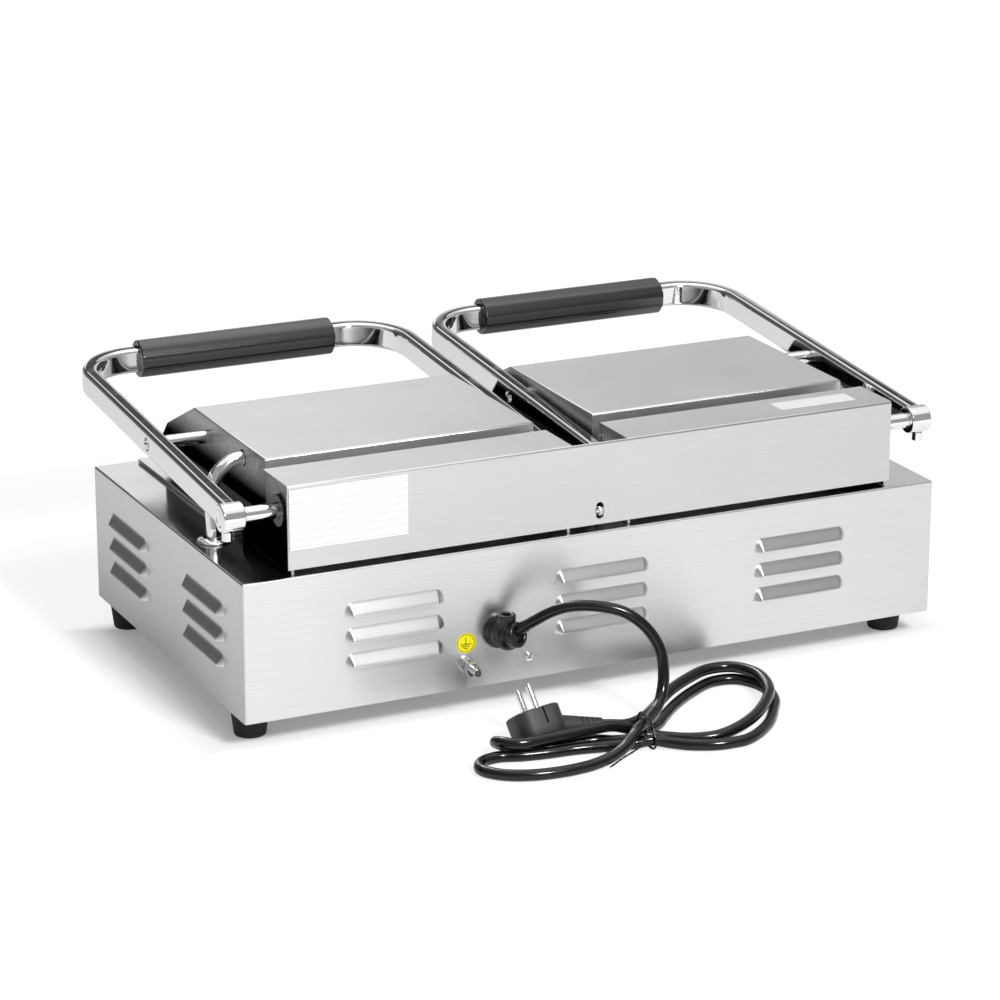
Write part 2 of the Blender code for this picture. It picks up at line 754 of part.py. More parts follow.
def base_shell():
    """The folded box, open below, with its bends rounded."""
    half = BASE_WIDTH / 2
    outer = box((-half, FRONT_Y, BASE_BOTTOM), (half, REAR_Y, BASE_TOP))

    def bend(edge):
        low = min(vert.co.z for vert in edge.verts)
        return edge_lies(edge, 2) or low > BASE_TOP - BEND_RADIUS

    bevel_edges(outer, BEND_RADIUS, 2, bend)
    housing = add_object("base_housing", outer, "brushed_steel")
    inner = box(
        (-half + SHEET, FRONT_Y + SHEET, BASE_BOTTOM - OVERRUN),
        (half - SHEET, REAR_Y - SHEET, BASE_TOP - SHEET),
    )
    cut(housing, inner)
    return housing


def plate_block_box(extra):
    """The part of the lower plate that hangs through the base top, grown all round by a clearance."""
    step = PLATE_FLANGE
    return (
        (-PLATE_WIDTH / 2 + step - extra, PLATE_FRONT_Y + step - extra),
        (PLATE_WIDTH / 2 - step + extra, PLATE_REAR_Y - step + extra),
    )


def base_openings(housing):
    low, high = plate_block_box(GAP)
    tools = [box((*low, BASE_TOP - OVERRUN), (*high, BASE_TOP + OVERRUN))]
    front = (FRONT_Y - OVERRUN, FRONT_Y + OVERRUN)
    clear = DRAWER_WIDTH / 2 + GAP
    tools.append(
        box(
            (-clear, front[0], DRAWER_FLOOR_Z - GAP),
            (clear, front[1], DRAWER_FLOOR_Z + DRAWER_HEIGHT + GAP),
        )
    )
    for side in SIDES.values():
        tools.append(
            cylinder(SPINDLE_RADIUS + GAP, -OVERRUN, OVERRUN, (0, -1, 0),
                     (side * KNOB_X, FRONT_Y, CONTROL_Z), SMALL_STEPS)
        )
        tools.append(
            cylinder(LAMP_RADIUS + GAP, -OVERRUN, OVERRUN, (0, -1, 0),
                     (side * LAMP_X, FRONT_Y, CONTROL_Z), SMALL_STEPS)
        )
        wide = SWITCH_WIDTH / 2 + GAP
        tall = SWITCH_HEIGHT / 2 + GAP
        tools.append(
            box(
                (side * SWITCH_X - wide, front[0], CONTROL_Z - tall),
                (side * SWITCH_X + wide, front[1], CONTROL_Z + tall),
            )
        )
        tools.append(
            cylinder(CONDUIT_RADIUS + CONDUIT_HOLE_CLEARANCE, -OVERRUN, OVERRUN, (0, 0, 1),
                     (side * CONDUIT_X, CONDUIT_Y, BASE_TOP))
        )
    rear_holes = (
        (GLAND_SPIGOT_RADIUS, GLAND_X, GLAND_Z),
        (STUD_RADIUS, STUD_X, BASE_BOTTOM + STUD_ABOVE_BASE),
        (PAN_SHANK_RADIUS, PANEL_SCREW_X, BASE_BOTTOM + PANEL_SCREW_ABOVE_BASE),
    )
    for radius, x, z in rear_holes:
        tools.append(cylinder(radius + GAP, -OVERRUN, OVERRUN, (0, 1, 0), (x, REAR_Y, z)))
    tools += [louvre_slot(*place) for place in louvre_places()]
    cut(housing, merged(*tools))


def base_housing():
    housing = base_shell()
    base_openings(housing)
    join(housing, merged(*[hood(*place) for place in louvre_places()]))


def bottom_cover():
    half = BASE_WIDTH / 2 - SHEET - GAP
    low_y = FRONT_Y + SHEET + GAP
    high_y = REAR_Y - SHEET - GAP
    cover = add_object(
        "bottom_cover",
        box((-half, low_y, BASE_BOTTOM), (half, high_y, BASE_BOTTOM + SHEET)),
        "steel_plate",
    )
    rails = []
    for side in SIDES.values():
        near = side * RAIL_X - RAIL_WIDTH / 2
        rails.append(
            box(
                (near, low_y + OVERRUN, BASE_BOTTOM + SHEET / 2),
                (near + RAIL_WIDTH, low_y + DRAWER_DEPTH, DRAWER_FLOOR_Z - GAP),
            )
        )
    join(cover, merged(*rails))


def feet():
    profile = (
        (FOOT_BOTTOM_RADIUS - FOOT_EDGE_ROUND, 0),
        (FOOT_BOTTOM_RADIUS, FOOT_EDGE_ROUND),
        (FOOT_TOP_RADIUS, FOOT_HEIGHT - GAP),
    )
    rows = {"front": FRONT_Y + FOOT_FRONT_INSET, "rear": REAR_Y - FOOT_REAR_INSET}
    for side_name, side in SIDES.items():
        for row_name, y in rows.items():
            place = (side * (BASE_WIDTH / 2 - FOOT_SIDE_INSET), y, 0)
            shape = turned(profile, (0, 0, 1), place, ROUND_STEPS + 4)
            add_object(f"foot_{row_name}_{side_name}", shape, "foot_rubber")


def ribbed_outline(low_x, high_x, root_z, tip_z, back_z):
    """A flat back and a comb of tapered ribs, seen along the ribs, which keep their pitch."""
    count = max(1, math.floor((high_x - low_x - RIB_MARGIN * 2) / RIB_PITCH))
    start = (low_x + high_x) / 2 - (count - 1) * RIB_PITCH / 2
    points = [(low_x, root_z)]
    for i in range(count):
        middle = start + i * RIB_PITCH
        foot = RIB_PITCH * RIB_FOOT_SHARE / 2
        crown = RIB_PITCH * RIB_TOP_SHARE / 2
        points += [(middle - foot, root_z), (middle - crown, tip_z)]
        points += [(middle + crown, tip_z), (middle + foot, root_z)]
    points += [(high_x, root_z), (high_x, back_z), (low_x, back_z)]
    return points


def lower_plate():
    """Cast plate: a flange on the base top, a block through it, ribs, a front trough and a low rim."""
    half = PLATE_WIDTH / 2
    plate = add_object(
        "lower_plate",
        box((-half, PLATE_FRONT_Y, PLATE_SEAT_Z), (half, PLATE_REAR_Y, RIB_ROOT_Z)),
        "cast_iron",
    )
    low, high = plate_block_box(0)
    join(plate, box((*low, BASE_TOP - PLATE_BLOCK_DEPTH), (*high, PLATE_SEAT_Z + PLATE_FLANGE / 2)))
    rim = PLATE_RIM_WIDTH
    ribs = prism(
        ribbed_outline(-half + rim, half - rim, RIB_ROOT_Z, RIB_TIP_Z, RIB_ROOT_Z - PLATE_FLANGE / 2),
        "Y",
        PLATE_FRONT_Y + rim + TROUGH_WIDTH,
        PLATE_REAR_Y - rim,
    )
    join(plate, ribs)
    rim_top = RIB_ROOT_Z + PLATE_RIM_HEIGHT
    shape = box((-half, PLATE_FRONT_Y, RIB_ROOT_Z - PLATE_FLANGE / 2), (half, PLATE_REAR_Y, rim_top))
    ring = add_object("rim", shape, "cast_iron")
    cut(
        ring,
        box(
            (-half + rim, PLATE_FRONT_Y + rim, BASE_TOP - OVERRUN),
            (half - rim, PLATE_REAR_Y - rim, rim_top + OVERRUN),
        ),
    )
    shape = bmesh.new()
    shape.from_mesh(ring.data)
    bpy.data.objects.remove(ring, do_unlink=True)
    join(plate, shape)
    drain_y = PLATE_FRONT_Y + rim + TROUGH_WIDTH / 2
    cut(
        plate,
        cylinder(
            DRAIN_RADIUS, -PLATE_BLOCK_DEPTH - OVERRUN, OVERRUN * 2, (0, 0, 1), (0, drain_y, BASE_TOP),
            SMALL_STEPS,
        ),
    )


def drip_apron():
    """The raised steel edging that goes round the front and the sides of the lower plate."""
    inner = PLATE_WIDTH / 2 + GAP
    outer = inner + APRON_SIDE
    front = PLATE_FRONT_Y - GAP
    rear = REAR_Y - APRON_REAR_INSET
    outline = (
        (-outer, rear),
        (-outer, front - APRON_FRONT),
        (outer, front - APRON_FRONT),
        (outer, rear),
        (inner, rear),
        (inner, front),
        (-inner, front),
        (-inner, rear),
    )
    shape = prism(outline, "Z", BASE_TOP + GAP, BASE_TOP + GAP + APRON_THICKNESS)
    add_object("drip_apron", shape, "brushed_steel")


def serpentine(low, high, z, runs):
    """Corners of a flat back-and-forth path inside a rectangle, with runs along Y."""
    corners = []
    for run in range(runs):
        x = low[0] + (high[0] - low[0]) * run / (runs - 1)
        ends = (low[1], high[1]) if run % 2 == 0 else (high[1], low[1])
        corners += [(x, end, z) for end in ends]
    return corners


def heating_elements(lid_pivots):
    reach = PLATE_WIDTH / 2 - ELEMENT_MARGIN
    low_z = BASE_TOP - PLATE_BLOCK_DEPTH - GAP - ELEMENT_RADIUS
    high_z = LID_SKIRT_Z - GAP + UPPER_PLATE_NECK + GAP + ELEMENT_RADIUS
    for name, side in SIDES.items():
        ends = sorted((side * ELEMENT_MARGIN, side * reach))
        corners = serpentine(
            (ends[0], PLATE_FRONT_Y + ELEMENT_MARGIN),
            (ends[1], PLATE_REAR_Y - ELEMENT_MARGIN),
            low_z,
            ELEMENT_RUNS,
        )
        points = rounded_path(corners, ELEMENT_BEND, 4)
        tube_object(f"lower_element_{name}", points, ELEMENT_RADIUS, "element_steel", 1)
        half = LID_WIDTH / 2 - ELEMENT_MARGIN
        middle = side * LID_CENTRE_X
        corners = serpentine(
            (middle - half, LID_FRONT_Y + ELEMENT_MARGIN),
            (middle + half, LID_REAR_Y - ELEMENT_MARGIN),
            high_z,
            ELEMENT_RUNS,
        )
        points = rounded_path(corners, ELEMENT_BEND, 4)
        tube_object(f"upper_element_{name}", points, ELEMENT_RADIUS, "element_steel", 1, lid_pivots[name])


def lid_profile(inset):
    """Side outline (y, z) of a lid cover, drawn in by an inset."""
    height = LID_TOP_Z - LID_SKIRT_Z
    knee = Vector((LID_FRONT_Y + LID_DEPTH * LID_KNEE_SHARE[0], LID_SKIRT_Z + height * LID_KNEE_SHARE[1]))
    nose = Vector((LID_FRONT_Y + LID_DEPTH * LID_NOSE_SHARE[0], LID_SKIRT_Z + height * LID_NOSE_SHARE[1]))
    brow = Vector((LID_FRONT_Y + LID_DEPTH * LID_FLAT_FRONT_SHARE, LID_TOP_Z))
    slope = (brow - knee).normalized()
    below = LID_SKIRT_Z - (OVERRUN if inset else 0)
    return (
        (LID_REAR_Y - inset, below),
        (LID_REAR_Y - inset, LID_TOP_Z - inset),
        (brow.x + inset * slope.y / 2, LID_TOP_Z - inset),
        (knee.x + inset, knee.y - inset * slope.x),
        (nose.x + inset, nose.y - inset / 2),
        (LID_FRONT_Y + inset, below),
    )


def lid_covers(lid_pivots):
    for name, side in SIDES.items():
        near = side * LID_CENTRE_X - LID_WIDTH / 2
        far = near + LID_WIDTH
        shell = prism(lid_profile(0), "X", near, far)
        bevel_edges(
            shell, LID_BEND, 2, lambda edge: min(vert.co.z for vert in edge.verts) > LID_SKIRT_Z + LID_BEND
        )
        cover = add_object(f"lid_cover_{name}", shell, "brushed_steel", lid_pivots[name])
        cut(cover, prism(lid_profile(SHEET), "X", near + SHEET, far - SHEET))
        outer_x = side * (LID_CENTRE_X + LID_WIDTH / 2)
        reach = LID_WIDTH / 2 + OVERRUN
        rod_hole = cylinder(
            ROD_RADIUS + GAP, -reach, reach, (1, 0, 0), (side * LID_CENTRE_X, ROD_Y, ROD_Z), ROUND_STEPS
        )
        conduit_hole = cylinder(
            CONDUIT_RADIUS + CONDUIT_HOLE_CLEARANCE, -OVERRUN, OVERRUN, (1, 0, 0),
            (outer_x, CONDUIT_Y - CONDUIT_LEAN, CONDUIT_Z), ROUND_STEPS,
        )
        cut(cover, merged(rod_hole, conduit_hole))


def upper_plates(lid_pivots):
    """Ribbed cast plates whose neck sits inside the lid cover's skirt."""
    tip_z = RIB_TIP_Z + PLATE_CLOSED_GAP
    root_z = tip_z + RIB_HEIGHT
    shoulder_z = LID_SKIRT_Z - GAP
    half = LID_WIDTH / 2 - UPPER_PLATE_SIDE_INSET
    neck = half - UPPER_PLATE_STEP
    front = LID_FRONT_Y + UPPER_PLATE_SETBACK
    rear = LID_REAR_Y - UPPER_PLATE_SETBACK
    for name, side in SIDES.items():
        middle = side * LID_CENTRE_X
        outline = ribbed_outline(middle - half, middle + half, root_z, tip_z, shoulder_z)
        plate = add_object(
            f"upper_plate_{name}", prism(outline, "Y", front, rear), "cast_iron", lid_pivots[name]
        )
        join(
            plate,
            box(
                (middle - neck, front + UPPER_PLATE_STEP, root_z + RIB_HEIGHT),
                (middle + neck, rear - UPPER_PLATE_STEP, shoulder_z + UPPER_PLATE_NECK),
            ),
        )


def handle_frame(side):
    """A matrix from the handle's own plane to the world: x across, y forwards, z off the plane."""
    rise = Matrix.Rotation(-ARM_RISE, 4, "X")
    shift = Matrix.Translation((side * HANDLE_CENTRE_X, SHAFT_Y, SHAFT_Z))
    return shift @ rise @ Matrix.Scale(-1, 4, (0, 1, 0))


def handle_stations():
    """(place, sideways direction) along the middle of the bent bar, in the handle's plane."""
    half = HANDLE_SPREAD / 2
    turn = BAR_CORNER
    stations = [(Vector((half, 0)), Vector((1, 0)))]
    steps = 7
    for centre_x, first in ((half - turn, 0), (turn - half, math.pi / 2)):
        centre = Vector((centre_x, ARM_LENGTH - turn))
        for step in range(steps + 1):
            angle = first + math.pi / 2 * step / steps
            out = Vector((math.cos(angle), math.sin(angle)))
            stations.append((centre + out * turn, out))
    stations.append((Vector((-half, 0)), Vector((-1, 0))))
    return stations


def handle_bars(pivots):
    section = rounded_rectangle(BAR_WIDTH, BAR_HEIGHT, BAR_ROUND, 2)
    for name, side in SIDES.items():
        frame = handle_frame(side)
        loops = [
            [frame @ Vector((*(place + out * a), b)) for a, b in section]
            for place, out in handle_stations()
        ]
        bar = add_object(f"handle_bar_{name}", loft(loops), "chrome", pivots[name])
        outer_x = side * (HANDLE_CENTRE_X + HANDLE_SPREAD / 2)
        inner_x = side * (HANDLE_CENTRE_X - HANDLE_SPREAD / 2)
        for x, length in ((outer_x, HUB_LENGTH), (inner_x, INNER_HUB_LENGTH)):
            edge = BAR_ROUND / 3
            profile = (
                (HUB_RADIUS - edge, -length / 2),
                (HUB_RADIUS, -length / 2 + edge),
                (HUB_RADIUS, length / 2 - edge),
                (HUB_RADIUS - edge, length / 2),
            )
            join(bar, turned(profile, (1, 0, 0), (x, SHAFT_Y, SHAFT_Z), ROUND_STEPS + 4))
        reach = HANDLE_SPREAD + OVERRUN
        bores = [
            cylinder(
                SHAFT_RADIUS + GAP, -reach, reach, (1, 0, 0), (side * HANDLE_CENTRE_X, SHAFT_Y, SHAFT_Z)
            ),
            cylinder(
                ROD_RADIUS + GAP, -reach, reach, (1, 0, 0), (side * HANDLE_CENTRE_X, ROD_Y, ROD_Z)
            ),
            cylinder(
                SET_SCREW_RADIUS + GAP, 0, HUB_RADIUS + OVERRUN, set_screw_direction(),
                set_screw_place(side), SMALL_STEPS,
            ),
        ]
        for bore in bores:
            cut(bar, bore)


def set_screw_direction():
    """Square to the arm, out of the underside of the hub."""
    return Vector((0, -math.sin(ARM_RISE), -math.cos(ARM_RISE)))


def set_screw_place(side):
    return (side * (HANDLE_CENTRE_X + HANDLE_SPREAD / 2 + SET_SCREW_OFFSET), SHAFT_Y, SHAFT_Z)


def hub_set_screws(pivots):
    start = SHAFT_RADIUS + GAP * 2
    seat = HUB_RADIUS + GAP
    profile = (
        (SET_SCREW_RADIUS, start),
        (SET_SCREW_RADIUS, seat),
        (SET_SCREW_HEAD, seat),
        (SET_SCREW_HEAD, seat + SET_SCREW_HEAD_LENGTH),
    )
    for name, side in SIDES.items():
        shape = turned(profile, set_screw_direction(), set_screw_place(side), SMALL_STEPS)
        add_object(f"hub_set_screw_{name}", shape, "chrome", pivots[name])


def grips(pivots):
    """Fluted round grips with a slot that the handle bar passes through."""
    steps = GRIP_GROOVES * 4
    half = GRIP_LENGTH / 2
    shoulder = half - GRIP_END_ROUND
    ends = ((-half, GRIP_END_ROUND), (-shoulder, 0), (shoulder, 0), (half, GRIP_END_ROUND))
    slot = rounded_rectangle(BAR_WIDTH + GAP * 2, BAR_HEIGHT + GAP * 2, BAR_ROUND + GAP, 3)
    for name, side in SIDES.items():
        frame = handle_frame(side)
        loops = []
        for along, inset in ends:
            loop = []
            for step in range(steps):
                angle = math.tau * step / steps
                radius = GRIP_RADIUS - inset - (GRIP_GROOVE if step % 4 == 0 else 0)
                y = ARM_LENGTH + radius * math.cos(angle)
                loop.append(frame @ Vector((along, y, radius * math.sin(angle))))
            loops.append(loop)
        grip = add_object(f"grip_{name}", loft(loops), "bakelite", pivots[name])
        reach = half + OVERRUN
        tool = loft(
            [[frame @ Vector((along, ARM_LENGTH + a, b)) for a, b in slot] for along in (-reach, reach)]
        )
        cut(grip, tool)


def cross_rods(pivots):
    inner = HANDLE_CENTRE_X - HANDLE_SPREAD / 2 - BAR_WIDTH / 2 + ROD_RECESS
    outer = HANDLE_CENTRE_X + HANDLE_SPREAD / 2 + BAR_WIDTH / 2 - ROD_RECESS
    for name, side in SIDES.items():
        shape = cylinder(ROD_RADIUS, inner, outer, (side, 0, 0), (0, ROD_Y, ROD_Z))
        add_object(f"cross_rod_{name}", shape, "chrome", pivots[name])


def shafts(pivots):
    outer = HANDLE_CENTRE_X + HANDLE_SPREAD / 2 + HUB_LENGTH / 2 - GAP
    for name, side in SIDES.items():
        shape = cylinder(SHAFT_RADIUS, SHAFT_START, outer, (side, 0, 0), (0, SHAFT_Y, SHAFT_Z))
        add_object(f"shaft_{name}", shape, "chrome", pivots[name])


def spring_casing():
    """Folded cover over the springs, notched for the inner arms, with its welded end cheeks."""
    half = CASING_LENGTH / 2
    shell = box((-half, CASING_FRONT_Y, CASING_BOTTOM_Z), (half, CASING_REAR_Y, CASING_TOP_Z))
    bevel_edges(
        shell,
        BEND_RADIUS,
        2,
        lambda edge: edge_lies(edge, 0) and edge.verts[0].co.z > CASING_TOP_Z - BEND_RADIUS,
    )
    casing = add_object("spring_casing", shell, "brushed_steel")
    hollow = box(
        (-half - OVERRUN, CASING_FRONT_Y + SHEET, CASING_BOTTOM_Z - OVERRUN),
        (half + OVERRUN, CASING_REAR_Y - SHEET, CASING_TOP_Z - SHEET),
    )
    notch = box(
        (-NOTCH_WIDTH / 2, CASING_FRONT_Y - OVERRUN, CASING_BOTTOM_Z - OVERRUN),
        (NOTCH_WIDTH / 2, CASING_REAR_Y - SHEET, CASING_TOP_Z + OVERRUN),
    )
    cut(casing, hollow)
    cut(casing, notch)
    for side in SIDES.values():
        low, high = sorted((side * CHEEK_X, side * (half + OVERRUN)))
        cut(
            casing,
            box((low - GAP, CASING_FRONT_Y - OVERRUN, CASING_BOTTOM_Z - OVERRUN),
                (high + GAP, CASING_FRONT_Y + SHEET * 2, CASING_TOP_Z - BEND_RADIUS - SHEET)),
        )
        low, high = sorted((side * CHEEK_X, side * (CHEEK_X + CHEEK_THICKNESS)))
        join(casing, prism(cheek_outline(), "X", low, high))
    reach = half + OVERRUN
    bore = cylinder(BUSH_RADIUS + GAP, -reach, reach, (1, 0, 0), (0, SHAFT_Y, SHAFT_Z), ROUND_STEPS)
    cut(casing, bore)
    end_radius = CASING_SLOT_WIDTH * CASING_SLOT_END_SHARE
    slot = rounded_rectangle(CASING_SLOT_WIDTH, CASING_SLOT_HEIGHT, end_radius, 4)
    middle = BASE_TOP + CASING_SCREW_ABOVE_BASE
    cut(
        casing,
        prism([(a, middle + b) for a, b in slot], "Y", CASING_REAR_Y - OVERRUN, CASING_REAR_Y + OVERRUN),
    )


def cheek_outline():
    """Side outline (y, z) of the end plates, which reach into the folded cover's sheet."""
    top = CASING_TOP_Z - SHEET / 2
    rear = CASING_REAR_Y - SHEET / 2
    front = CASING_FRONT_Y + SHEET / 2
    toe = CASING_REAR_Y - CHEEK_FOOT_DEPTH
    foot = BASE_TOP + GAP
    toe_top = foot + CHEEK_TOE_HEIGHT
    knee_y, knee_z = CHEEK_KNEE_SHARE
    return (
        (rear, foot),
        (rear, top),
        (front, top - BEND_RADIUS),
        (front, toe_top + (top - toe_top) * knee_z),
        (toe + (front - toe) * knee_y, toe_top + (top - toe_top) * knee_z / 2),
        (toe, toe_top),
        (toe, foot),
    )


def bearing_brackets():
    """Upright plates beside the notch that carry the inner ends of the shafts."""
    top = CASING_TOP_Z - SHEET - GAP
    front = CASING_FRONT_Y + SHEET + GAP
    rear = CASING_REAR_Y - SHEET - GAP
    for name, side in SIDES.items():
        low, high = sorted((side * BRACKET_X, side * (BRACKET_X + BRACKET_THICKNESS)))
        bracket = add_object(
            f"bearing_bracket_{name}", box((low, front, BASE_TOP + GAP), (high, rear, top)), "steel_plate"
        )
        hole = cylinder(
            SHAFT_RADIUS + GAP, low - OVERRUN, high + OVERRUN, (1, 0, 0), (0, SHAFT_Y, SHAFT_Z), ROUND_STEPS
        )
        cut(bracket, hole)


def shaft_bushes():
    """Flanged bushes that the outer ends of the shafts turn in, set into the cheeks."""
    inner = CHEEK_X - BUSH_LENGTH + CHEEK_THICKNESS + GAP
    flange = CHEEK_X + CHEEK_THICKNESS + GAP
    profile = (
        (BUSH_RADIUS, inner),
        (BUSH_RADIUS, flange),
        (BUSH_FLANGE_RADIUS, flange),
        (BUSH_FLANGE_RADIUS, flange + BUSH_FLANGE),
    )
    for name, side in SIDES.items():
        bush = add_object(
            f"shaft_bush_{name}", turned(profile, (side, 0, 0), (0, SHAFT_Y, SHAFT_Z)), "bakelite"
        )
        cut(
            bush,
            cylinder(
                SHAFT_RADIUS + GAP, inner - OVERRUN, flange + BUSH_FLANGE + OVERRUN, (side, 0, 0),
                (0, SHAFT_Y, SHAFT_Z),
            ),
        )


def torsion_springs():
    """Wire helices round the shafts. Each has a straight leg that rests against the front of the casing."""
    coil_radius = SHAFT_RADIUS + GAP * 2 + SPRING_WIRE
    per_turn = 8
    for name, side in SIDES.items():
        points = []
        for step in range(SPRING_TURNS * per_turn + 1):
            angle = math.tau * step / per_turn
            x = SPRING_START + SPRING_PITCH * step / per_turn
            points.append(
                (side * x, SHAFT_Y + coil_radius * math.sin(angle), SHAFT_Z + coil_radius * math.cos(angle))
            )
        leg = (points[0][0], points[0][1] - SPRING_LEG, points[0][2])
        tube_object(f"torsion_spring_{name}", [leg] + points, SPRING_WIRE, "spring_steel", 1)


def slotted_screw(name, place, direction):
    """A pan-head screw with a cross recess."""
    profile = (
        (PAN_SHANK_RADIUS, -PAN_SHANK),
        (PAN_SHANK_RADIUS, GAP),
        (PAN_HEAD_RADIUS, GAP),
        (PAN_HEAD_RADIUS, GAP + PAN_HEAD_HEIGHT / 2),
        (PAN_HEAD_RADIUS / 2, GAP + PAN_HEAD_HEIGHT),
    )
    screw = add_object(name, turned(profile, direction, place, SMALL_STEPS), "chrome")
    arm = PAN_HEAD_RADIUS / 2
    thin = PAN_HEAD_RADIUS / 8
    x, y, z = place
    depth = y + GAP + PAN_HEAD_HEIGHT / 2
    for half in ((arm, thin), (thin, arm)):
        cut(
            screw,
            box((x - half[0], depth, z - half[1]), (x + half[0], depth + PAN_HEAD_HEIGHT, z + half[1])),
        )


def rear_screws():
    slotted_screw("casing_screw", (0, CASING_REAR_Y, BASE_TOP + CASING_SCREW_ABOVE_BASE), (0, 1, 0))
    slotted_screw("panel_screw", (PANEL_SCREW_X, REAR_Y, BASE_BOTTOM + PANEL_SCREW_ABOVE_BASE), (0, 1, 0))


def conduit_points(side):
    """Middle line of a cable tube: straight up out of the base, then over into the lid's side."""
    x = side * CONDUIT_X
    end_x = side * (LID_CENTRE_X + LID_WIDTH / 2 - CONDUIT_ENTRY)
    corners = (
        (x, CONDUIT_Y, BASE_TOP - CONDUIT_TAIL),
        (x, CONDUIT_Y, BASE_TOP + CONDUIT_TAIL),
        (x, CONDUIT_Y - CONDUIT_LEAN, CONDUIT_Z),
        (end_x, CONDUIT_Y - CONDUIT_LEAN, CONDUIT_Z),
    )
    straight, *bend = rounded_path(corners[1:], CONDUIT_BEND, 8)
    return [Vector(corners[0]), straight, *bend]


def conduits():
    for name, side in SIDES.items():
        tube_object(f"conduit_{name}", conduit_points(side), CONDUIT_RADIUS, "chrome", 3)
        profile = (
            (CONDUIT_FLANGE_RADIUS, GAP),
            (CONDUIT_FLANGE_RADIUS, GAP + CONDUIT_FLANGE / 3),
            (CONDUIT_RADIUS + CONDUIT_FLANGE, GAP + CONDUIT_FLANGE),
        )
        place = (side * CONDUIT_X, CONDUIT_Y, BASE_TOP)
        flange = add_object(f"conduit_flange_{name}", turned(profile, (0, 0, 1), place), "chrome")
        cut(
            flange,
            cylinder(
                CONDUIT_RADIUS + CONDUIT_HOLE_CLEARANCE, -OVERRUN, OVERRUN * 2, (0, 0, 1), place,
                ROUND_STEPS,
            ),
        )


def grease_drawer():
    """Tray with a wide front and a bent pull, on its runners."""
    half = DRAWER_WIDTH / 2
    front = FRONT_Y - GAP
    pivot = empty_at("drawer_axis", (0, FRONT_Y, DRAWER_FLOOR_Z))
    low = DRAWER_FLOOR_Z
    top = DRAWER_FLOOR_Z + DRAWER_HEIGHT
    drawer = add_object(
        "grease_drawer", box((-half, front - SHEET / 2, low), (half, front + DRAWER_DEPTH, top)),
        "brushed_steel", pivot,
    )
    cut(
        drawer,
        box(
            (-half + SHEET, front + SHEET, low + SHEET),
            (half - SHEET, front + DRAWER_DEPTH - SHEET, top + OVERRUN),
        ),
    )
    wide = half + DRAWER_FRONT_MARGIN
    plate_top = top + DRAWER_FRONT_RISE
    join(
        drawer,
        box((-wide, front - SHEET, low - DRAWER_FRONT_DROP), (wide, front, plate_top)),
    )
    pull = (
        (front - SHEET / 2, plate_top),
        (front - DRAWER_PULL, plate_top),
        (front - DRAWER_PULL, plate_top - DRAWER_PULL_HEM),
        (front - DRAWER_PULL + SHEET, plate_top - DRAWER_PULL_HEM),
        (front - DRAWER_PULL + SHEET, plate_top - SHEET),
        (front - SHEET / 2, plate_top - SHEET),
    )
    join(drawer, prism(pull, "X", -DRAWER_PULL_WIDTH / 2, DRAWER_PULL_WIDTH / 2))


def thermostats():
    """Boxed thermostats behind the front wall, each with a spindle through it."""
    half = THERMOSTAT_SIZE / 2
    back = FRONT_Y + SHEET + GAP
    reach = KNOB_STANDOFF + KNOB_DEPTH * SPINDLE_SHARE
    for name, side in SIDES.items():
        x = side * KNOB_X
        body = add_object(
            f"thermostat_{name}",
            box((x - half, back, CONTROL_Z - half), (x + half, back + THERMOSTAT_DEPTH, CONTROL_Z + half)),
            "thermoset",
        )
        join(
            body,
            cylinder(
                SPINDLE_RADIUS, -SHEET - OVERRUN, reach, (0, -1, 0), (x, FRONT_Y, CONTROL_Z), SMALL_STEPS
            ),
        )


def thermostat_knobs():
    """Round knobs with a skirt and a raised pointer ridge."""
    body_radius = KNOB_RADIUS * KNOB_BODY_RADIUS_SHARE
    profile = (
        (KNOB_RADIUS, KNOB_STANDOFF),
        (KNOB_RADIUS, KNOB_STANDOFF + KNOB_SKIRT / 2),
        (body_radius, KNOB_STANDOFF + KNOB_SKIRT),
        (body_radius * KNOB_BODY_RADIUS_SHARE, KNOB_STANDOFF + KNOB_DEPTH),
    )
    for name, side in SIDES.items():
        place = Vector((side * KNOB_X, FRONT_Y, CONTROL_Z))
        pivot = empty_at(f"knob_axis_{name}", place)
        knob = add_object(f"thermostat_knob_{name}", turned(profile, (0, -1, 0), place), "bakelite", pivot)
        face = FRONT_Y - KNOB_STANDOFF - KNOB_DEPTH
        half = KNOB_RIDGE_WIDTH / 2
        join(
            knob,
            box(
                (place.x - half, face - KNOB_RIDGE_RISE, CONTROL_Z - body_radius / 2),
                (place.x + half, face + KNOB_SKIRT, CONTROL_Z + body_radius),
            ),
        )
        depth = KNOB_DEPTH * SPINDLE_SHARE + KNOB_STANDOFF + GAP
        cut(knob, cylinder(SPINDLE_RADIUS + GAP, -OVERRUN, depth, (0, -1, 0), place, SMALL_STEPS))


def rocker_swing():
    """Radius of the arc that the rocker's ends run on."""
    return SWITCH_HEIGHT / 2 - SWITCH_BEZEL_WIDTH - ROCKER_CLEARANCE


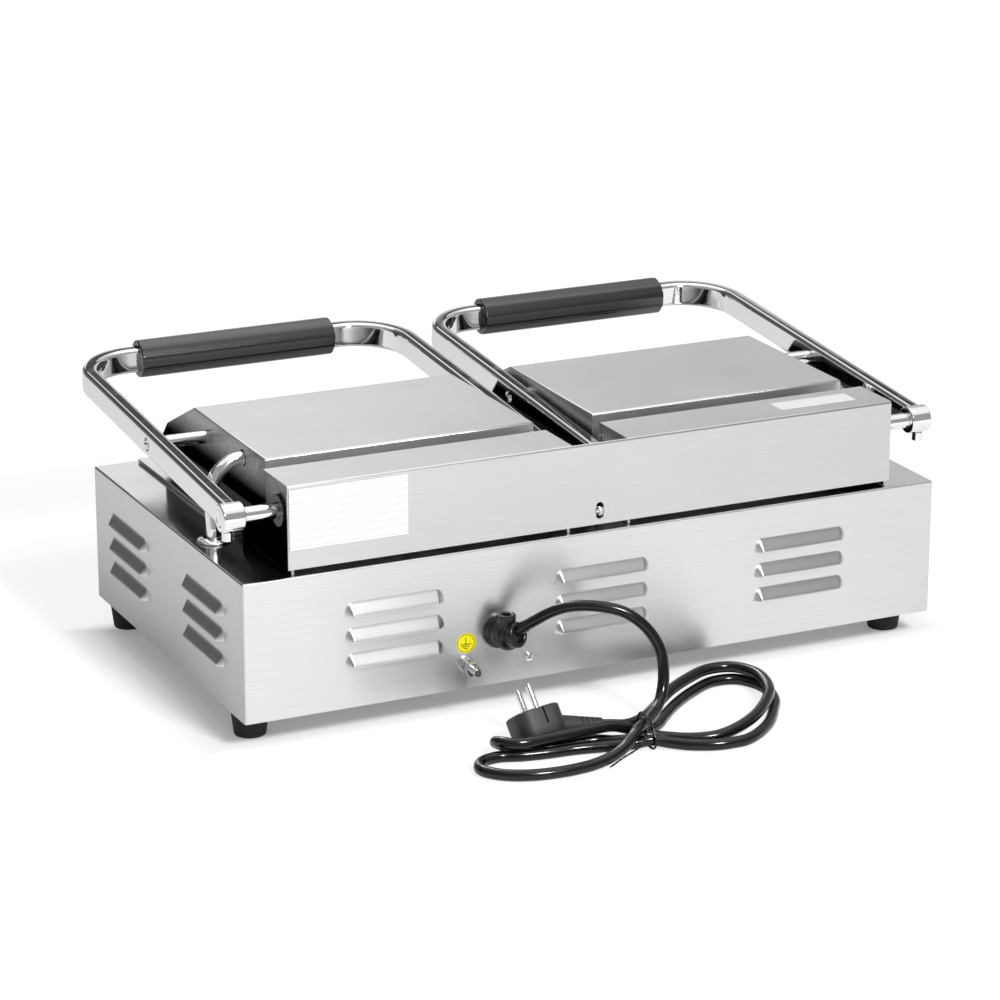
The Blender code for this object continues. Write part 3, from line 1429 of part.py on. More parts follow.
def power_switches():
    """Switch bodies with a bezel on the front wall and a well for the rocker."""
    for name, side in SIDES.items():
        x = side * SWITCH_X
        wide = SWITCH_WIDTH / 2
        tall = SWITCH_HEIGHT / 2
        lip = SWITCH_BEZEL_WIDTH / 2
        body = add_object(
            f"switch_body_{name}",
            box((x - wide, FRONT_Y - GAP - SWITCH_BEZEL / 2, CONTROL_Z - tall),
                (x + wide, FRONT_Y + SWITCH_BODY_DEPTH, CONTROL_Z + tall)),
            "bakelite",
        )
        join(
            body,
            box((x - wide - lip, FRONT_Y - GAP - SWITCH_BEZEL, CONTROL_Z - tall - lip),
                (x + wide + lip, FRONT_Y - GAP, CONTROL_Z + tall + lip)),
        )
        side_wall = SWITCH_BEZEL_WIDTH
        swing = rocker_swing() + ROCKER_CLEARANCE
        cut(
            body,
            box((x - wide + side_wall, FRONT_Y - SWITCH_BEZEL - OVERRUN, CONTROL_Z - swing),
                (x + wide - side_wall, FRONT_Y + SWITCH_BODY_DEPTH / 2, CONTROL_Z + swing)),
        )
        cut(
            body,
            cylinder(ROCKER_PIN_RADIUS + GAP, -wide + side_wall / 2, wide - side_wall / 2, (1, 0, 0),
                     (x, FRONT_Y, CONTROL_Z), SMALL_STEPS),
        )


def switch_rockers():
    """Rockers with a dished front. At rest the lower half stands proud, which is off."""
    swing = rocker_swing()
    dish = math.radians(ROCKER_DISH_DEGREES)
    for name, side in SIDES.items():
        x = side * SWITCH_X
        place = Vector((x, FRONT_Y, CONTROL_Z))
        pivot = empty_at(f"rocker_axis_{name}", place)
        points = []
        for sign in (1, -1):
            first = math.asin((ROCKER_PROUD + swing * math.sin(dish)) / swing)
            last = -math.asin(ROCKER_BACK / swing)
            arc = [first + (last - first) * step / 4 for step in range(5)]
            ring = [(-swing * math.sin(a), sign * swing * math.cos(a)) for a in arc]
            points += ring if sign > 0 else list(reversed(ring))
        points.append((-ROCKER_PROUD, 0))
        tilt = Matrix.Rotation(dish, 2)
        outline = []
        for out, up in points:
            moved = tilt @ Vector((out, up))
            outline.append((FRONT_Y + moved.x, CONTROL_Z + moved.y))
        wide = SWITCH_WIDTH / 2 - SWITCH_BEZEL_WIDTH - ROCKER_CLEARANCE
        shape = prism(outline, "X", x - wide, x + wide)
        rocker = add_object(f"switch_rocker_{name}", shape, "switch_green", pivot)
        pin = wide + ROCKER_CLEARANCE + SWITCH_BEZEL_WIDTH / 4
        join(rocker, cylinder(ROCKER_PIN_RADIUS, -pin, pin, (1, 0, 0), place, SMALL_STEPS))


def pilot_lamps():
    profile = (
        (LAMP_RADIUS - LAMP_RIM, -LAMP_BODY),
        (LAMP_RADIUS, -LAMP_BODY / 2),
        (LAMP_RADIUS, GAP),
        (LAMP_RADIUS + LAMP_RIM, GAP),
        (LAMP_RADIUS + LAMP_RIM, GAP + LAMP_RIM),
        (LAMP_RADIUS, GAP + LAMP_RIM),
        (LAMP_RADIUS * LAMP_DOME_SHARES[0], GAP + LAMP_RIM + LAMP_DOME * LAMP_DOME_SHARES[1]),
        (LAMP_RADIUS * LAMP_CROWN_SHARE, GAP + LAMP_RIM + LAMP_DOME),
    )
    for name, side in SIDES.items():
        place = (side * LAMP_X, FRONT_Y, CONTROL_Z)
        add_object(f"pilot_lamp_{name}", turned(profile, (0, -1, 0), place, SMALL_STEPS), "lamp_orange")


def terminal_block():
    length, depth, height = TERMINAL_SIZE
    low_y = REAR_Y - TERMINAL_REAR_INSET - depth
    floor = BASE_BOTTOM + SHEET + GAP
    low_x = TERMINAL_X - length / 2
    shape = box((low_x, low_y, floor), (low_x + length, low_y + depth, floor + height))
    block = add_object("terminal_block", shape, "thermoset")
    wells = []
    for way in range(TERMINAL_WAYS):
        x = low_x + length * (way * 2 + 1) / (TERMINAL_WAYS * 2)
        wells.append(
            cylinder(TERMINAL_WELL_RADIUS, -TERMINAL_WELL_DEPTH, OVERRUN, (0, 0, 1),
                     (x, low_y + depth / 2, floor + height), SMALL_STEPS)
        )
    cut(block, merged(*wells))


def gland_axis():
    """(elbow, direction) of the gland's outlet."""
    sideways = math.sin(OUTLET_TURN) * math.cos(OUTLET_RISE)
    direction = Vector((-sideways, OUTLET_LEAN, math.sin(OUTLET_RISE)))
    return Vector((GLAND_X, REAR_Y + GLAND_ELBOW_OUT, GLAND_Z)), direction


def cable_gland():
    """Angled cable gland: a wall flange, a round body, a clamp screw boss on top and a side outlet."""
    centre = (GLAND_X, REAR_Y, GLAND_Z)
    round_off = GLAND_FLANGE / 2
    profile = (
        (GLAND_SPIGOT_RADIUS, -GLAND_SPIGOT),
        (GLAND_SPIGOT_RADIUS, GAP),
        (GLAND_FLANGE_RADIUS, GAP),
        (GLAND_FLANGE_RADIUS, GLAND_FLANGE - round_off / 2),
        (GLAND_BODY_RADIUS, GLAND_FLANGE + round_off),
        (GLAND_BODY_RADIUS, GLAND_OUT - GLAND_BODY_RADIUS / 2),
        (GLAND_BODY_RADIUS * GLAND_NOSE_SHARES[0], GLAND_OUT - GLAND_BODY_RADIUS / 5),
        (GLAND_BODY_RADIUS * GLAND_NOSE_SHARES[1], GLAND_OUT),
    )
    gland = add_object("cable_gland", turned(profile, (0, 1, 0), centre), "bakelite")
    elbow, direction = gland_axis()
    collar = GLAND_OUTLET_COLLAR
    outlet = (
        (GLAND_OUTLET_RADIUS, 0),
        (collar, GLAND_OUTLET_LENGTH / 2),
        (collar, GLAND_OUTLET_LENGTH - round_off),
        (GLAND_OUTLET_RADIUS, GLAND_OUTLET_LENGTH),
    )
    join(gland, turned(outlet, direction, elbow, ROUND_STEPS - 4))
    boss_place = (GLAND_X, REAR_Y + GLAND_BOSS_OUT, GLAND_Z)
    join(gland, cylinder(GLAND_BOSS_RADIUS, 0, GLAND_BOSS_REACH, (0, 0, 1), boss_place, SMALL_STEPS + 2))
    cut(
        gland,
        cylinder(
            GLAND_SOCKET_RADIUS, GLAND_BOSS_REACH - GLAND_SOCKET_DEPTH, GLAND_BOSS_REACH + OVERRUN,
            (0, 0, 1), boss_place, SMALL_STEPS,
        ),
    )


def swept(points, radius, steps, closed):
    """A round tube along points as one skin, closed on itself or capped."""
    shape = bmesh.new()
    rings = []
    normal = None
    last = len(points) - 1
    for i, point in enumerate(points):
        before = points[i - 1] if closed or i else point
        after = points[(i + 1) % len(points)] if closed or i < last else point
        tangent = (after - before).normalized()
        normal = normal or tangent.orthogonal()
        normal = (normal - tangent * normal.dot(tangent)).normalized()
        side = tangent.cross(normal)
        angles = [math.tau * k / steps for k in range(steps)]
        spokes = [normal * math.cos(a) + side * math.sin(a) for a in angles]
        rings.append([shape.verts.new(point + radius * spoke) for spoke in spokes])
    pairs = list(zip(rings, rings[1:]))
    if closed:
        pairs.append((rings[-1], rings[0]))
    for first, second in pairs:
        for k in range(steps):
            j = (k + 1) % steps
            shape.faces.new((first[k], first[j], second[j], second[k]))
    if not closed:
        shape.faces.new(rings[0])
        shape.faces.new(list(reversed(rings[-1])))
    bmesh.ops.recalc_face_normals(shape, faces=shape.faces)
    return shape


def smooth_route(route):
    """A close row of points on the smooth curve that runs through every point of a route."""
    points = [Vector(point) for point in route]
    points.insert(0, points[0] * 2 - points[1])
    points.append(points[-1] * 2 - points[-2])
    dense = []
    for p0, p1, p2, p3 in zip(points, points[1:], points[2:], points[3:]):
        t0 = 0.0
        t1 = t0 + math.sqrt((p1 - p0).length)
        t2 = t1 + math.sqrt((p2 - p1).length)
        t3 = t2 + math.sqrt((p3 - p2).length)
        for step in range(ROUTE_STEPS):
            t = t1 + (t2 - t1) * step / ROUTE_STEPS
            a1 = p0.lerp(p1, (t - t0) / (t1 - t0))
            a2 = p1.lerp(p2, (t - t1) / (t2 - t1))
            a3 = p2.lerp(p3, (t - t2) / (t3 - t2))
            b1 = a1.lerp(a2, (t - t0) / (t2 - t0))
            b2 = a2.lerp(a3, (t - t1) / (t3 - t1))
            dense.append(b1.lerp(b2, (t - t1) / (t2 - t1)))
    dense.append(points[-2])
    return dense


def spaced(points, count):
    """The same line as evenly spaced points."""
    lengths = [0.0]
    for first, second in zip(points, points[1:]):
        lengths.append(lengths[-1] + (second - first).length)
    out = []
    at = 0
    for step in range(count):
        want = lengths[-1] * step / (count - 1)
        while at < len(points) - 2 and lengths[at + 1] < want:
            at += 1
        span = lengths[at + 1] - lengths[at]
        out.append(points[at].lerp(points[at + 1], min(1, (want - lengths[at]) / span)))
    return out


def line_length(points):
    return sum((second - first).length for first, second in zip(points, points[1:]))


def gland_outlet():
    """(face, heading) of the gland's mouth, where the cord comes out."""
    elbow, direction = gland_axis()
    return elbow + direction * GLAND_OUTLET_LENGTH, direction


def cord_points():
    """The free stretch: straight out of the gland, over in an arc and down to the tie."""
    mouth, heading = gland_outlet()
    start = mouth + heading * GAP
    first = start + heading * CORD_RADIUS * 2
    end = Vector(TIE_POINT) - Vector(TIE_HEADING) * CORD_SEAM
    last = end - Vector(TIE_HEADING) * CORD_RADIUS * 2
    return [start] + spaced(smooth_route([first, *CORD_ROUTE, last]), CORD_POINTS) + [end]


def hank_points():
    """The tied part: two folds on one side of the tie and two loops on the other, ending at the plug."""
    start = Vector(TIE_POINT) + Vector(TIE_HEADING) * CORD_SEAM
    first = start + Vector(TIE_HEADING) * CORD_RADIUS * 2
    heading = Vector(RELIEF_HEADING).normalized()
    end = Vector(RELIEF_POINT) - heading * GAP
    last = end - heading * CORD_RADIUS * 2
    count = HANK_LOOPS * HANK_LOOP_POINTS
    return [start] + spaced(smooth_route([first, *HANK_ROUTE, last]), count) + [end]


def least_gap(points, radius):
    """The smallest space between parts of a tube that aren't neighbours along it."""
    fine = spaced(points, math.ceil(line_length(points) / GAP_STEP))
    tree = KDTree(len(fine))
    for i, point in enumerate(fine):
        tree.insert(point, i)
    tree.balance()
    apart = NEIGHBOUR_TURNS * radius * 2 / GAP_STEP
    reach = radius * NEIGHBOUR_TURNS
    least = (reach, 0)
    for i, point in enumerate(fine):
        for _, j, distance in tree.find_range(point, reach):
            if abs(i - j) > apart:
                least = min(least, (distance, i))
    return least[0] - radius * 2, fine[least[1]]


def mains_cord():
    free = cord_points()
    hank = hank_points()
    tube_object("power_cord", free, CORD_RADIUS, "cable_rubber", 2)
    tube_object("cord_hank", hank, CORD_RADIUS, "cable_rubber", 1)
    gap, place = least_gap(free + hank, CORD_RADIUS)
    print("least gap of the cord to itself", round(gap, 5), "m at", tuple(round(c, 4) for c in place))
    print("cord length", round(line_length(free) + line_length(hank), 4), "m")


def tie_ring():
    """A closed line round the bundle, in the plane across it."""
    radius = CORD_RADIUS + TIE_CLEARANCE + TIE_WIRE
    low = CORD_RADIUS + TIE_CLEARANCE + TIE_WIRE * 2
    x, y, z = TIE_POINT
    centres = ((TIE_FRONT_Y, low), (TIE_REAR_Y, low), (y + CORD_RADIUS, z), (y - CORD_RADIUS, z))
    points = []
    for i, centre in enumerate(centres):
        centre = Vector(centre)
        before = Vector(centres[i - 1])
        after = Vector(centres[(i + 1) % len(centres)])
        first = math.atan2(centre.y - before.y, centre.x - before.x) - math.pi / 2
        last = math.atan2(after.y - centre.y, after.x - centre.x) - math.pi / 2
        sweep = (last - first) % math.tau
        for step in range(4):
            angle = first + sweep * step / 3
            spoke = Vector((math.cos(angle), math.sin(angle)))
            points.append(Vector((x, *(centre + radius * spoke))))
    return points


def cord_tie():
    ring = swept(tie_ring(), TIE_WIRE, 6, True)
    tie = add_object("cord_tie", ring, "cable_rubber")
    tail = smooth_route(TIE_TAIL)
    join(tie, swept(spaced(tail, len(TIE_TAIL) * 2), TIE_WIRE, 6, False))


def plug_frame():
    """A matrix from the plug's own place (x along the cord, y through the pins, z out of the face)."""
    axis = Vector(PLUG_AXIS).normalized()
    pins = Vector(PLUG_PIN_LINE)
    pins = (pins - axis * pins.dot(axis)).normalized()
    cord_way = pins.cross(axis)
    turn = Matrix((cord_way, pins, axis)).transposed().to_4x4()
    return Matrix.Translation(PLUG_FACE) @ turn


def plug_outline(scale):
    width = PLUG_HALF_LENGTH * 2 * scale
    height = PLUG_HALF_WIDTH * 2 * scale
    return rounded_rectangle(width, height, PLUG_CORNER * scale, 3)


def plug_body():
    """Moulded angled plug with a rounded back, side notches and a ribbed strain relief."""
    frame = plug_frame()
    edge = 1 - PLUG_EDGE / PLUG_HALF_WIDTH
    loops = [[frame @ Vector((*point, 0)) for point in plug_outline(edge)]]
    loops.append([frame @ Vector((*point, -PLUG_EDGE)) for point in plug_outline(1)])
    for depth_share, scale in PLUG_BACK_SHARES:
        loop = []
        for point in plug_outline(scale):
            depth = (PLUG_DEPTH + PLUG_BACK_SLOPE * point.y / PLUG_HALF_WIDTH) * depth_share
            loop.append(frame @ Vector((*point, -depth)))
        loops.append(loop)
    body = add_object("plug_body", loft(loops), "cable_rubber")
    join(body, strain_relief(frame))
    half = PLUG_NOTCH_WIDTH / 2
    for sign in (1, -1):
        outer = sign * (PLUG_HALF_WIDTH + OVERRUN)
        inner = sign * (PLUG_HALF_WIDTH - PLUG_NOTCH_DEPTH)
        low, high = sorted((inner, outer))
        cut(body, framed(frame, box((-half, low, -PLUG_NOTCH_LENGTH), (half, high, OVERRUN))))
        place = (0, sign * PIN_SPACING / 2, 0)
        bore = cylinder(PIN_RADIUS + GAP, -PIN_SEAT - GAP, OVERRUN, (0, 0, 1), place, 8)
        cut(body, framed(frame, bore))
    half = PLUG_CLIP_WIDTH / 2
    inner = PLUG_HALF_LENGTH - PLUG_CLIP_DEPTH
    outer = PLUG_HALF_LENGTH + OVERRUN
    cut(body, framed(frame, box((-outer, -half, -PLUG_NOTCH_LENGTH), (-inner, half, OVERRUN))))


def framed(frame, shape):
    shape.transform(frame)
    return shape


def strain_relief(frame):
    """Tapered sleeve from inside the plug to the cord's end, with grooves round its thin part."""
    heading = Vector(RELIEF_HEADING).normalized()
    start = Vector(RELIEF_POINT)
    root = frame @ Vector((0, 0, -PLUG_DEPTH / 2))
    length = (root - start).dot(heading)
    loops = []
    profile = [(0.0, RELIEF_START_RADIUS)]
    ribbed = (length - PLUG_HALF_LENGTH) * RELIEF_RIBBED_SHARE
    for rib in range(RELIEF_RIBS):
        low = ribbed * (rib + 1) / (RELIEF_RIBS + 1)
        high = low + RELIEF_GROOVE
        for at, sunk in ((low, 0), (low, 1), (high, 1), (high, 0)):
            radius = RELIEF_START_RADIUS + (RELIEF_END_RADIUS - RELIEF_START_RADIUS) * at / length
            profile.append((at, radius - RELIEF_GROOVE * sunk / 2))
    profile.append((length, RELIEF_END_RADIUS))
    for at, radius in profile:
        middle = start + heading * at + (root - start - heading * length) * (at / length) ** 2
        loops.append([middle + offset for offset in ring_offsets(heading, radius, 10)])
    return loft(loops)


def ring_offsets(heading, radius, steps):
    turn = heading.to_track_quat("Z", "Y").to_matrix()
    angles = [math.tau * k / steps for k in range(steps)]
    return [turn @ Vector((radius * math.cos(a), radius * math.sin(a), 0)) for a in angles]


def plug_pins():
    frame = plug_frame()
    profile = (
        (PIN_RADIUS, -PIN_SEAT),
        (PIN_RADIUS, PIN_LENGTH - PIN_ROUND * 2),
        (PIN_RADIUS - PIN_ROUND / 2, PIN_LENGTH - PIN_ROUND / 2),
        (PIN_RADIUS - PIN_ROUND, PIN_LENGTH),
    )
    for name, sign in (("near", 1), ("far", -1)):
        pin = turned(profile, (0, 0, 1), (0, sign * PIN_SPACING / 2, 0), 10)
        add_object(f"plug_pin_{name}", framed(frame, pin), "chrome")


def earth_stud():
    """Threaded stud with washers and two nuts, for bonding the casing."""
    place = (STUD_X, REAR_Y, BASE_BOTTOM + STUD_ABOVE_BASE)
    shank = cylinder(STUD_RADIUS, -STUD_IN, STUD_OUT, (0, 1, 0), place, SMALL_STEPS)
    stud = add_object("earth_stud", shank, "steel_plate")
    join(stud, cylinder(STUD_WASHER_RADIUS, GAP, GAP + STUD_WASHER, (0, 1, 0), place))
    nut_radius = STUD_NUT_ACROSS / math.sqrt(3)
    for start in (GAP + STUD_WASHER / 2, GAP + STUD_WASHER / 2 + STUD_NUT_SPACING):
        join(stud, cylinder(nut_radius, start, start + STUD_NUT, (0, 1, 0), place, 6))


def rating_plate():
    """Blank data plate on the casing's rear wall."""
    high_x = CASING_LENGTH / 2 - RATING_SIDE_INSET
    high_z = CASING_TOP_Z - BEND_RADIUS - RATING_TOP_INSET
    rear = CASING_REAR_Y + GAP
    shape = box(
        (high_x - RATING_WIDTH, rear, high_z - RATING_HEIGHT), (high_x, rear + RATING_THICKNESS, high_z)
    )
    add_object("rating_plate", shape, "blank_label")


def main():
    clear_scene()
    handle_pivots = {
        name: empty_at(f"handle_axis_{name}", (side * HANDLE_CENTRE_X, SHAFT_Y, SHAFT_Z))
        for name, side in SIDES.items()
    }
    lid_pivots = {
        name: empty_at(f"lid_axis_{name}", (side * LID_CENTRE_X, ROD_Y, ROD_Z))
        for name, side in SIDES.items()
    }
    base_housing()
    bottom_cover()
    feet()
    lower_plate()
    drip_apron()
    heating_elements(lid_pivots)
    lid_covers(lid_pivots)
    upper_plates(lid_pivots)
    handle_bars(handle_pivots)
    hub_set_screws(handle_pivots)
    grips(handle_pivots)
    cross_rods(handle_pivots)
    shafts(handle_pivots)
    spring_casing()
    bearing_brackets()
    shaft_bushes()
    torsion_springs()
    rear_screws()
    conduits()
    grease_drawer()
    thermostats()
    thermostat_knobs()
    power_switches()
    switch_rockers()
    pilot_lamps()
    terminal_block()
    cable_gland()
    earth_stud()
    rating_plate()
    mains_cord()
    cord_tie()
    plug_body()
    plug_pins()
    smooth_shading()


main()
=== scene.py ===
"""Double contact grill seen from its rear: folded stainless base with pressed louvres, two lids on bent
chrome handles, and a tied mains cord. Metres, +Z up, +X on the right of a cook at the front."""

import json
import math
from contextlib import contextmanager

import bmesh
import bpy
from mathutils import Matrix, Vector


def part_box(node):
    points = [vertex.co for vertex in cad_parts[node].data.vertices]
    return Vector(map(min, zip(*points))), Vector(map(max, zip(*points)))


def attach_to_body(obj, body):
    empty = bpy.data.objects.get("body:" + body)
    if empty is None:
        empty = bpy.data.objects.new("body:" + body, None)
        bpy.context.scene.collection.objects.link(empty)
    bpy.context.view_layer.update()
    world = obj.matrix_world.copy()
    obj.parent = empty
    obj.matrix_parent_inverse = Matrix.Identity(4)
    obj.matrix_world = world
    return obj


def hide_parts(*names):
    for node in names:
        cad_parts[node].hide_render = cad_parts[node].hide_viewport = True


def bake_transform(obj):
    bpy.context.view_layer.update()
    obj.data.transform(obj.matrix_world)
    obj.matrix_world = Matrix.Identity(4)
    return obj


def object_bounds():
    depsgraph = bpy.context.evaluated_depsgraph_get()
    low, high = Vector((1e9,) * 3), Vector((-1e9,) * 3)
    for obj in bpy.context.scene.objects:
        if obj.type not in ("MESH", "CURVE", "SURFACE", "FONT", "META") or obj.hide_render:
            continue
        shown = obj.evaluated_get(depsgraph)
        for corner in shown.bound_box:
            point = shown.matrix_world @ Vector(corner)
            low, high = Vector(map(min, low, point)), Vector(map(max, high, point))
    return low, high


bl_info = {
    "name": "Double contact grill",
    "version": (1, 0, 0),
    "blender": (4, 5, 0),
    "location": "3D View > Sidebar > Grill",
    "description": "Builds a double contact grill on its CAD frame",
    "category": "Object",
}

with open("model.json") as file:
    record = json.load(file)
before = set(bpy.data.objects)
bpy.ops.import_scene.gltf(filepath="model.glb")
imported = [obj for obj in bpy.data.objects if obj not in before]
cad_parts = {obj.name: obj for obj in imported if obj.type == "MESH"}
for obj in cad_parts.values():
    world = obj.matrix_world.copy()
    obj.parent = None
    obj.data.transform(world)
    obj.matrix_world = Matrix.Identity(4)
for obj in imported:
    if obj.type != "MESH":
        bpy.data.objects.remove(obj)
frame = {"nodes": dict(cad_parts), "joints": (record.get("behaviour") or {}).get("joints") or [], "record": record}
CAD_BOX = [list(corner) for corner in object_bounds()]
BODIES = frame["record"]["behaviour"]["bodies"]
SLOTS = {part["node"]: part["material_slot"] for part in frame["record"]["subparts"]}
SIDES = {"right": 1, "left": -1}
SHARP = math.radians(50)
MERGE = 0.000002
# The gap kept between a thin piece and the face it lies on
CLEAR = 0.00002
# The narrow round on the edges of most pieces
FINE_EDGE = 0.0003

# The camera, solved from the box edges in the photograph
CAMERA_PLACE = (1.18238, 2.48037, 0.98945)
CAMERA_AZIMUTH = math.radians(154.553)
CAMERA_ELEVATION = math.radians(17.901)
CAMERA_LENS = 133.43

# The base box as in the CAD, and the places that the frame's joints give
HALF_WIDTH = 0.285
BASE_BOTTOM = 0.022
BASE_TOP = 0.128
BASE_DEPTH = 0.312
SHAFT_Y, SHAFT_Z = frame["joints"][0]["pos_m"][1:]
ROD_Y, ROD_Z = frame["joints"][1]["pos_m"][1:]
REAR_Y = SHAFT_Y + 0.025
BASE_Y = REAR_Y - BASE_DEPTH / 2
HANDLE_X = abs(frame["joints"][0]["pos_m"][0])
ARM_RISE = math.radians(4.46)
GLAND_PLACE = Vector((0.084, REAR_Y, 0.0635))
GLAND_ELBOW = GLAND_PLACE + Vector((0, 0.0145, 0))
GLAND_TURN = math.radians(55)
GLAND_RISE = math.radians(33)
# From the elbow to the cord's start, half a millimetre past the gland's sleeve
GLAND_REACH = 0.0168
CORD_POINTS = 640

# The cord's route as it lies, point by point: from the gland over to the tie, and round the hank to the plug
CORD_ROUTE = (
    (0.0575, 0.2029, 0.0835), (0.0460, 0.2094, 0.0880), (0.0285, 0.2184, 0.0885),
    (0.0095, 0.2274, 0.0835), (-0.0055, 0.2344, 0.0705), (-0.0135, 0.2399, 0.0540),
    (-0.0135, 0.2449, 0.0370), (-0.0080, 0.2514, 0.0235), (0.0010, 0.2604, 0.0178),
)
TIE_POINT = (0.0180, 0.2764, 0.0163)
TIE_HEADING = (0.755, 0.656, 0.0)
TIE_TAIL = (
    (0.0180, 0.2806, 0.0211), (0.0205, 0.2874, 0.0207), (0.0260, 0.2954, 0.0182),
    (0.0333, 0.2985, 0.0090), (0.0472, 0.2990, 0.0025), (0.0617, 0.3085, 0.0018),
)
HANK_ROUTE = (
    (0.0330, 0.2899, 0.0155), (0.0450, 0.2974, 0.0100), (0.0590, 0.3024, 0.0062),
    (0.0750, 0.3059, 0.0044), (0.0970, 0.3079, 0.0043), (0.1220, 0.3044, 0.0043),
    (0.1410, 0.2944, 0.0043), (0.1500, 0.2799, 0.0043), (0.1440, 0.2674, 0.0043),
    (0.1290, 0.2634, 0.0043), (0.1120, 0.2684, 0.0043), (0.0940, 0.2716, 0.0043),
    (0.0720, 0.2736, 0.0043), (0.0500, 0.2794, 0.0048), (0.0320, 0.2854, 0.0058),
    (0.0180, 0.2869, 0.0069), (0.0060, 0.2929, 0.0050), (-0.0060, 0.3014, 0.0043),
    (-0.0240, 0.3094, 0.0043), (-0.0470, 0.3099, 0.0043), (-0.0750, 0.2909, 0.0043),
    (-0.0960, 0.2634, 0.0043), (-0.1050, 0.2484, 0.0043), (-0.1100, 0.2314, 0.0043),
    (-0.1090, 0.2134, 0.0043), (-0.1000, 0.1984, 0.0043), (-0.0820, 0.1954, 0.0043),
    (-0.0560, 0.2089, 0.0043), (-0.0330, 0.2264, 0.0043), (-0.0155, 0.2434, 0.0043),
    (-0.0040, 0.2554, 0.0044), (0.0050, 0.2619, 0.0054), (0.0180, 0.2674, 0.0070),
    (0.0290, 0.2662, 0.0108), (0.0400, 0.2656, 0.0138), (0.0700, 0.2674, 0.0140),
    (0.0950, 0.2684, 0.0139), (0.1100, 0.2689, 0.0138), (0.1190, 0.2664, 0.0138),
    (0.1250, 0.2600, 0.0138), (0.1257, 0.2520, 0.0112), (0.1200, 0.2460, 0.0066),
    (0.1135, 0.2500, 0.0044), (0.1045, 0.2580, 0.0043), (0.0860, 0.2622, 0.0043),
    (0.0670, 0.2626, 0.0043), (0.0500, 0.2649, 0.0043), (0.0410, 0.2709, 0.0043),
    (0.0300, 0.2762, 0.0055), (0.0180, 0.2771, 0.0069), (0.0040, 0.2819, 0.0050),
    (-0.0120, 0.2904, 0.0043), (-0.0330, 0.2959, 0.0054), (-0.0620, 0.2879, 0.0095),
    (-0.0870, 0.2674, 0.0132), (-0.1020, 0.2444, 0.0138), (-0.1075, 0.2144, 0.0138),
    (-0.0980, 0.1964, 0.0138), (-0.0790, 0.1929, 0.0138), (-0.0560, 0.2034, 0.0137),
    (-0.0320, 0.2184, 0.0122), (-0.0120, 0.2329, 0.0076), (-0.0005, 0.2399, 0.0049),
    (0.0110, 0.2449, 0.0043), (0.0195, 0.2462, 0.0044),
)
RELIEF_POINT = (0.0370, 0.2439, 0.0066)
RELIEF_HEADING = (0.985, -0.056, 0.150)


def linear(hex_colour):
    """An sRGB hex colour as linear red, green, blue and alpha."""
    parts = [int(hex_colour[i : i + 2], 16) / 255 for i in (1, 3, 5)]
    return [c / 12.92 if c <= 0.04045 else ((c + 0.055) / 1.055) ** 2.4 for c in parts] + [1.0]


def colour(name, description, hex_colour):
    return bpy.props.FloatVectorProperty(
        name=name, description=description, subtype="COLOR", size=4, min=0, max=1, default=linear(hex_colour)
    )


def length(name, description, default):
    return bpy.props.FloatProperty(
        name=name, description=description, unit="LENGTH", precision=5, default=default
    )


class GrillSizes(bpy.types.PropertyGroup):
    cord_radius: length("Cord radius", "Half the thickness of the mains cord", 0.00425)
    tie_wire: length("Tie wire", "Radius of the coated wire round the bundle", 0.0009)
    louvre_length: length("Louvre length", "Length of one louvre hood over its round ends", 0.081)
    louvre_height: length("Louvre height", "Height of a hood from its lip to the wall", 0.0118)
    louvre_out: length("Louvre depth", "How far a lip stands out from the wall", 0.0054)
    louvre_end: length("Louvre end", "Length of a hood's round end", 0.0075)
    louvre_sheet: length("Louvre sheet", "Thickness of the sheet of a hood", 0.0009)
    louvre_pitch: length("Louvre pitch", "Spacing of the hoods one above another", 0.0195)
    louvre_first: length("First lip", "Height of the lowest lip above the base's edge", 0.0315)
    rear_spacing: length("Rear spacing", "Spacing of the louvre groups across the rear", 0.168)
    side_spacing: length("Side spacing", "Spacing of the louvre groups along a side", 0.158)
    bar_width: length("Bar width", "Width of the handle bar in the handle's plane", 0.012)
    bar_height: length("Bar height", "Height of the handle bar", 0.020)
    bar_round: length("Bar edge", "Rounding of the handle bar's edges", 0.0034)
    bar_corner: length("Bar corner", "Radius of the handle's bends", 0.044)
    arm_length: length("Arm length", "From the shaft to the middle of the grip", 0.332)
    handle_spread: length("Handle spread", "Between the middles of the two arms", 0.268)
    hub_radius: length("Hub radius", "Radius of the hub on the shaft", 0.0105)
    hub_length: length("Hub length", "Length of the outer hub", 0.017)
    inner_hub_length: length("Inner hub length", "Length of the hub in the casing's notch", 0.0125)
    rod_hole: length("Rod hole", "Radius of the holes for the cross rod in a bar", 0.0053)
    conduit_radius: length("Cable tube radius", "Radius of the curved cable tubes", 0.0055)
    conduit_place: length("Cable tube place", "From the middle of the grill to a tube's upright", 0.267)
    conduit_bend: length("Cable tube bend", "Radius of the bends of a cable tube", 0.027)
    ferrule_length: length("Ferrule length", "Length of the ferrule where a cable tube hinges", 0.007)
    foot_top: length("Foot top", "Radius of a foot where it meets the base", 0.0145)
    foot_bottom: length("Foot bottom", "Radius of a foot on the worktop", 0.012)
    gland_flange: length("Gland flange", "Radius of the cable gland's flange", 0.0135)
    sticker_radius: length("Sticker radius", "Radius of the earth point's sticker", 0.00775)
    sticker_sheet: length("Sticker sheet", "Thickness of the sticker and the strip", 0.00012)
    ink: length("Ink", "Thickness of the mark printed on the sticker", 0.00005)


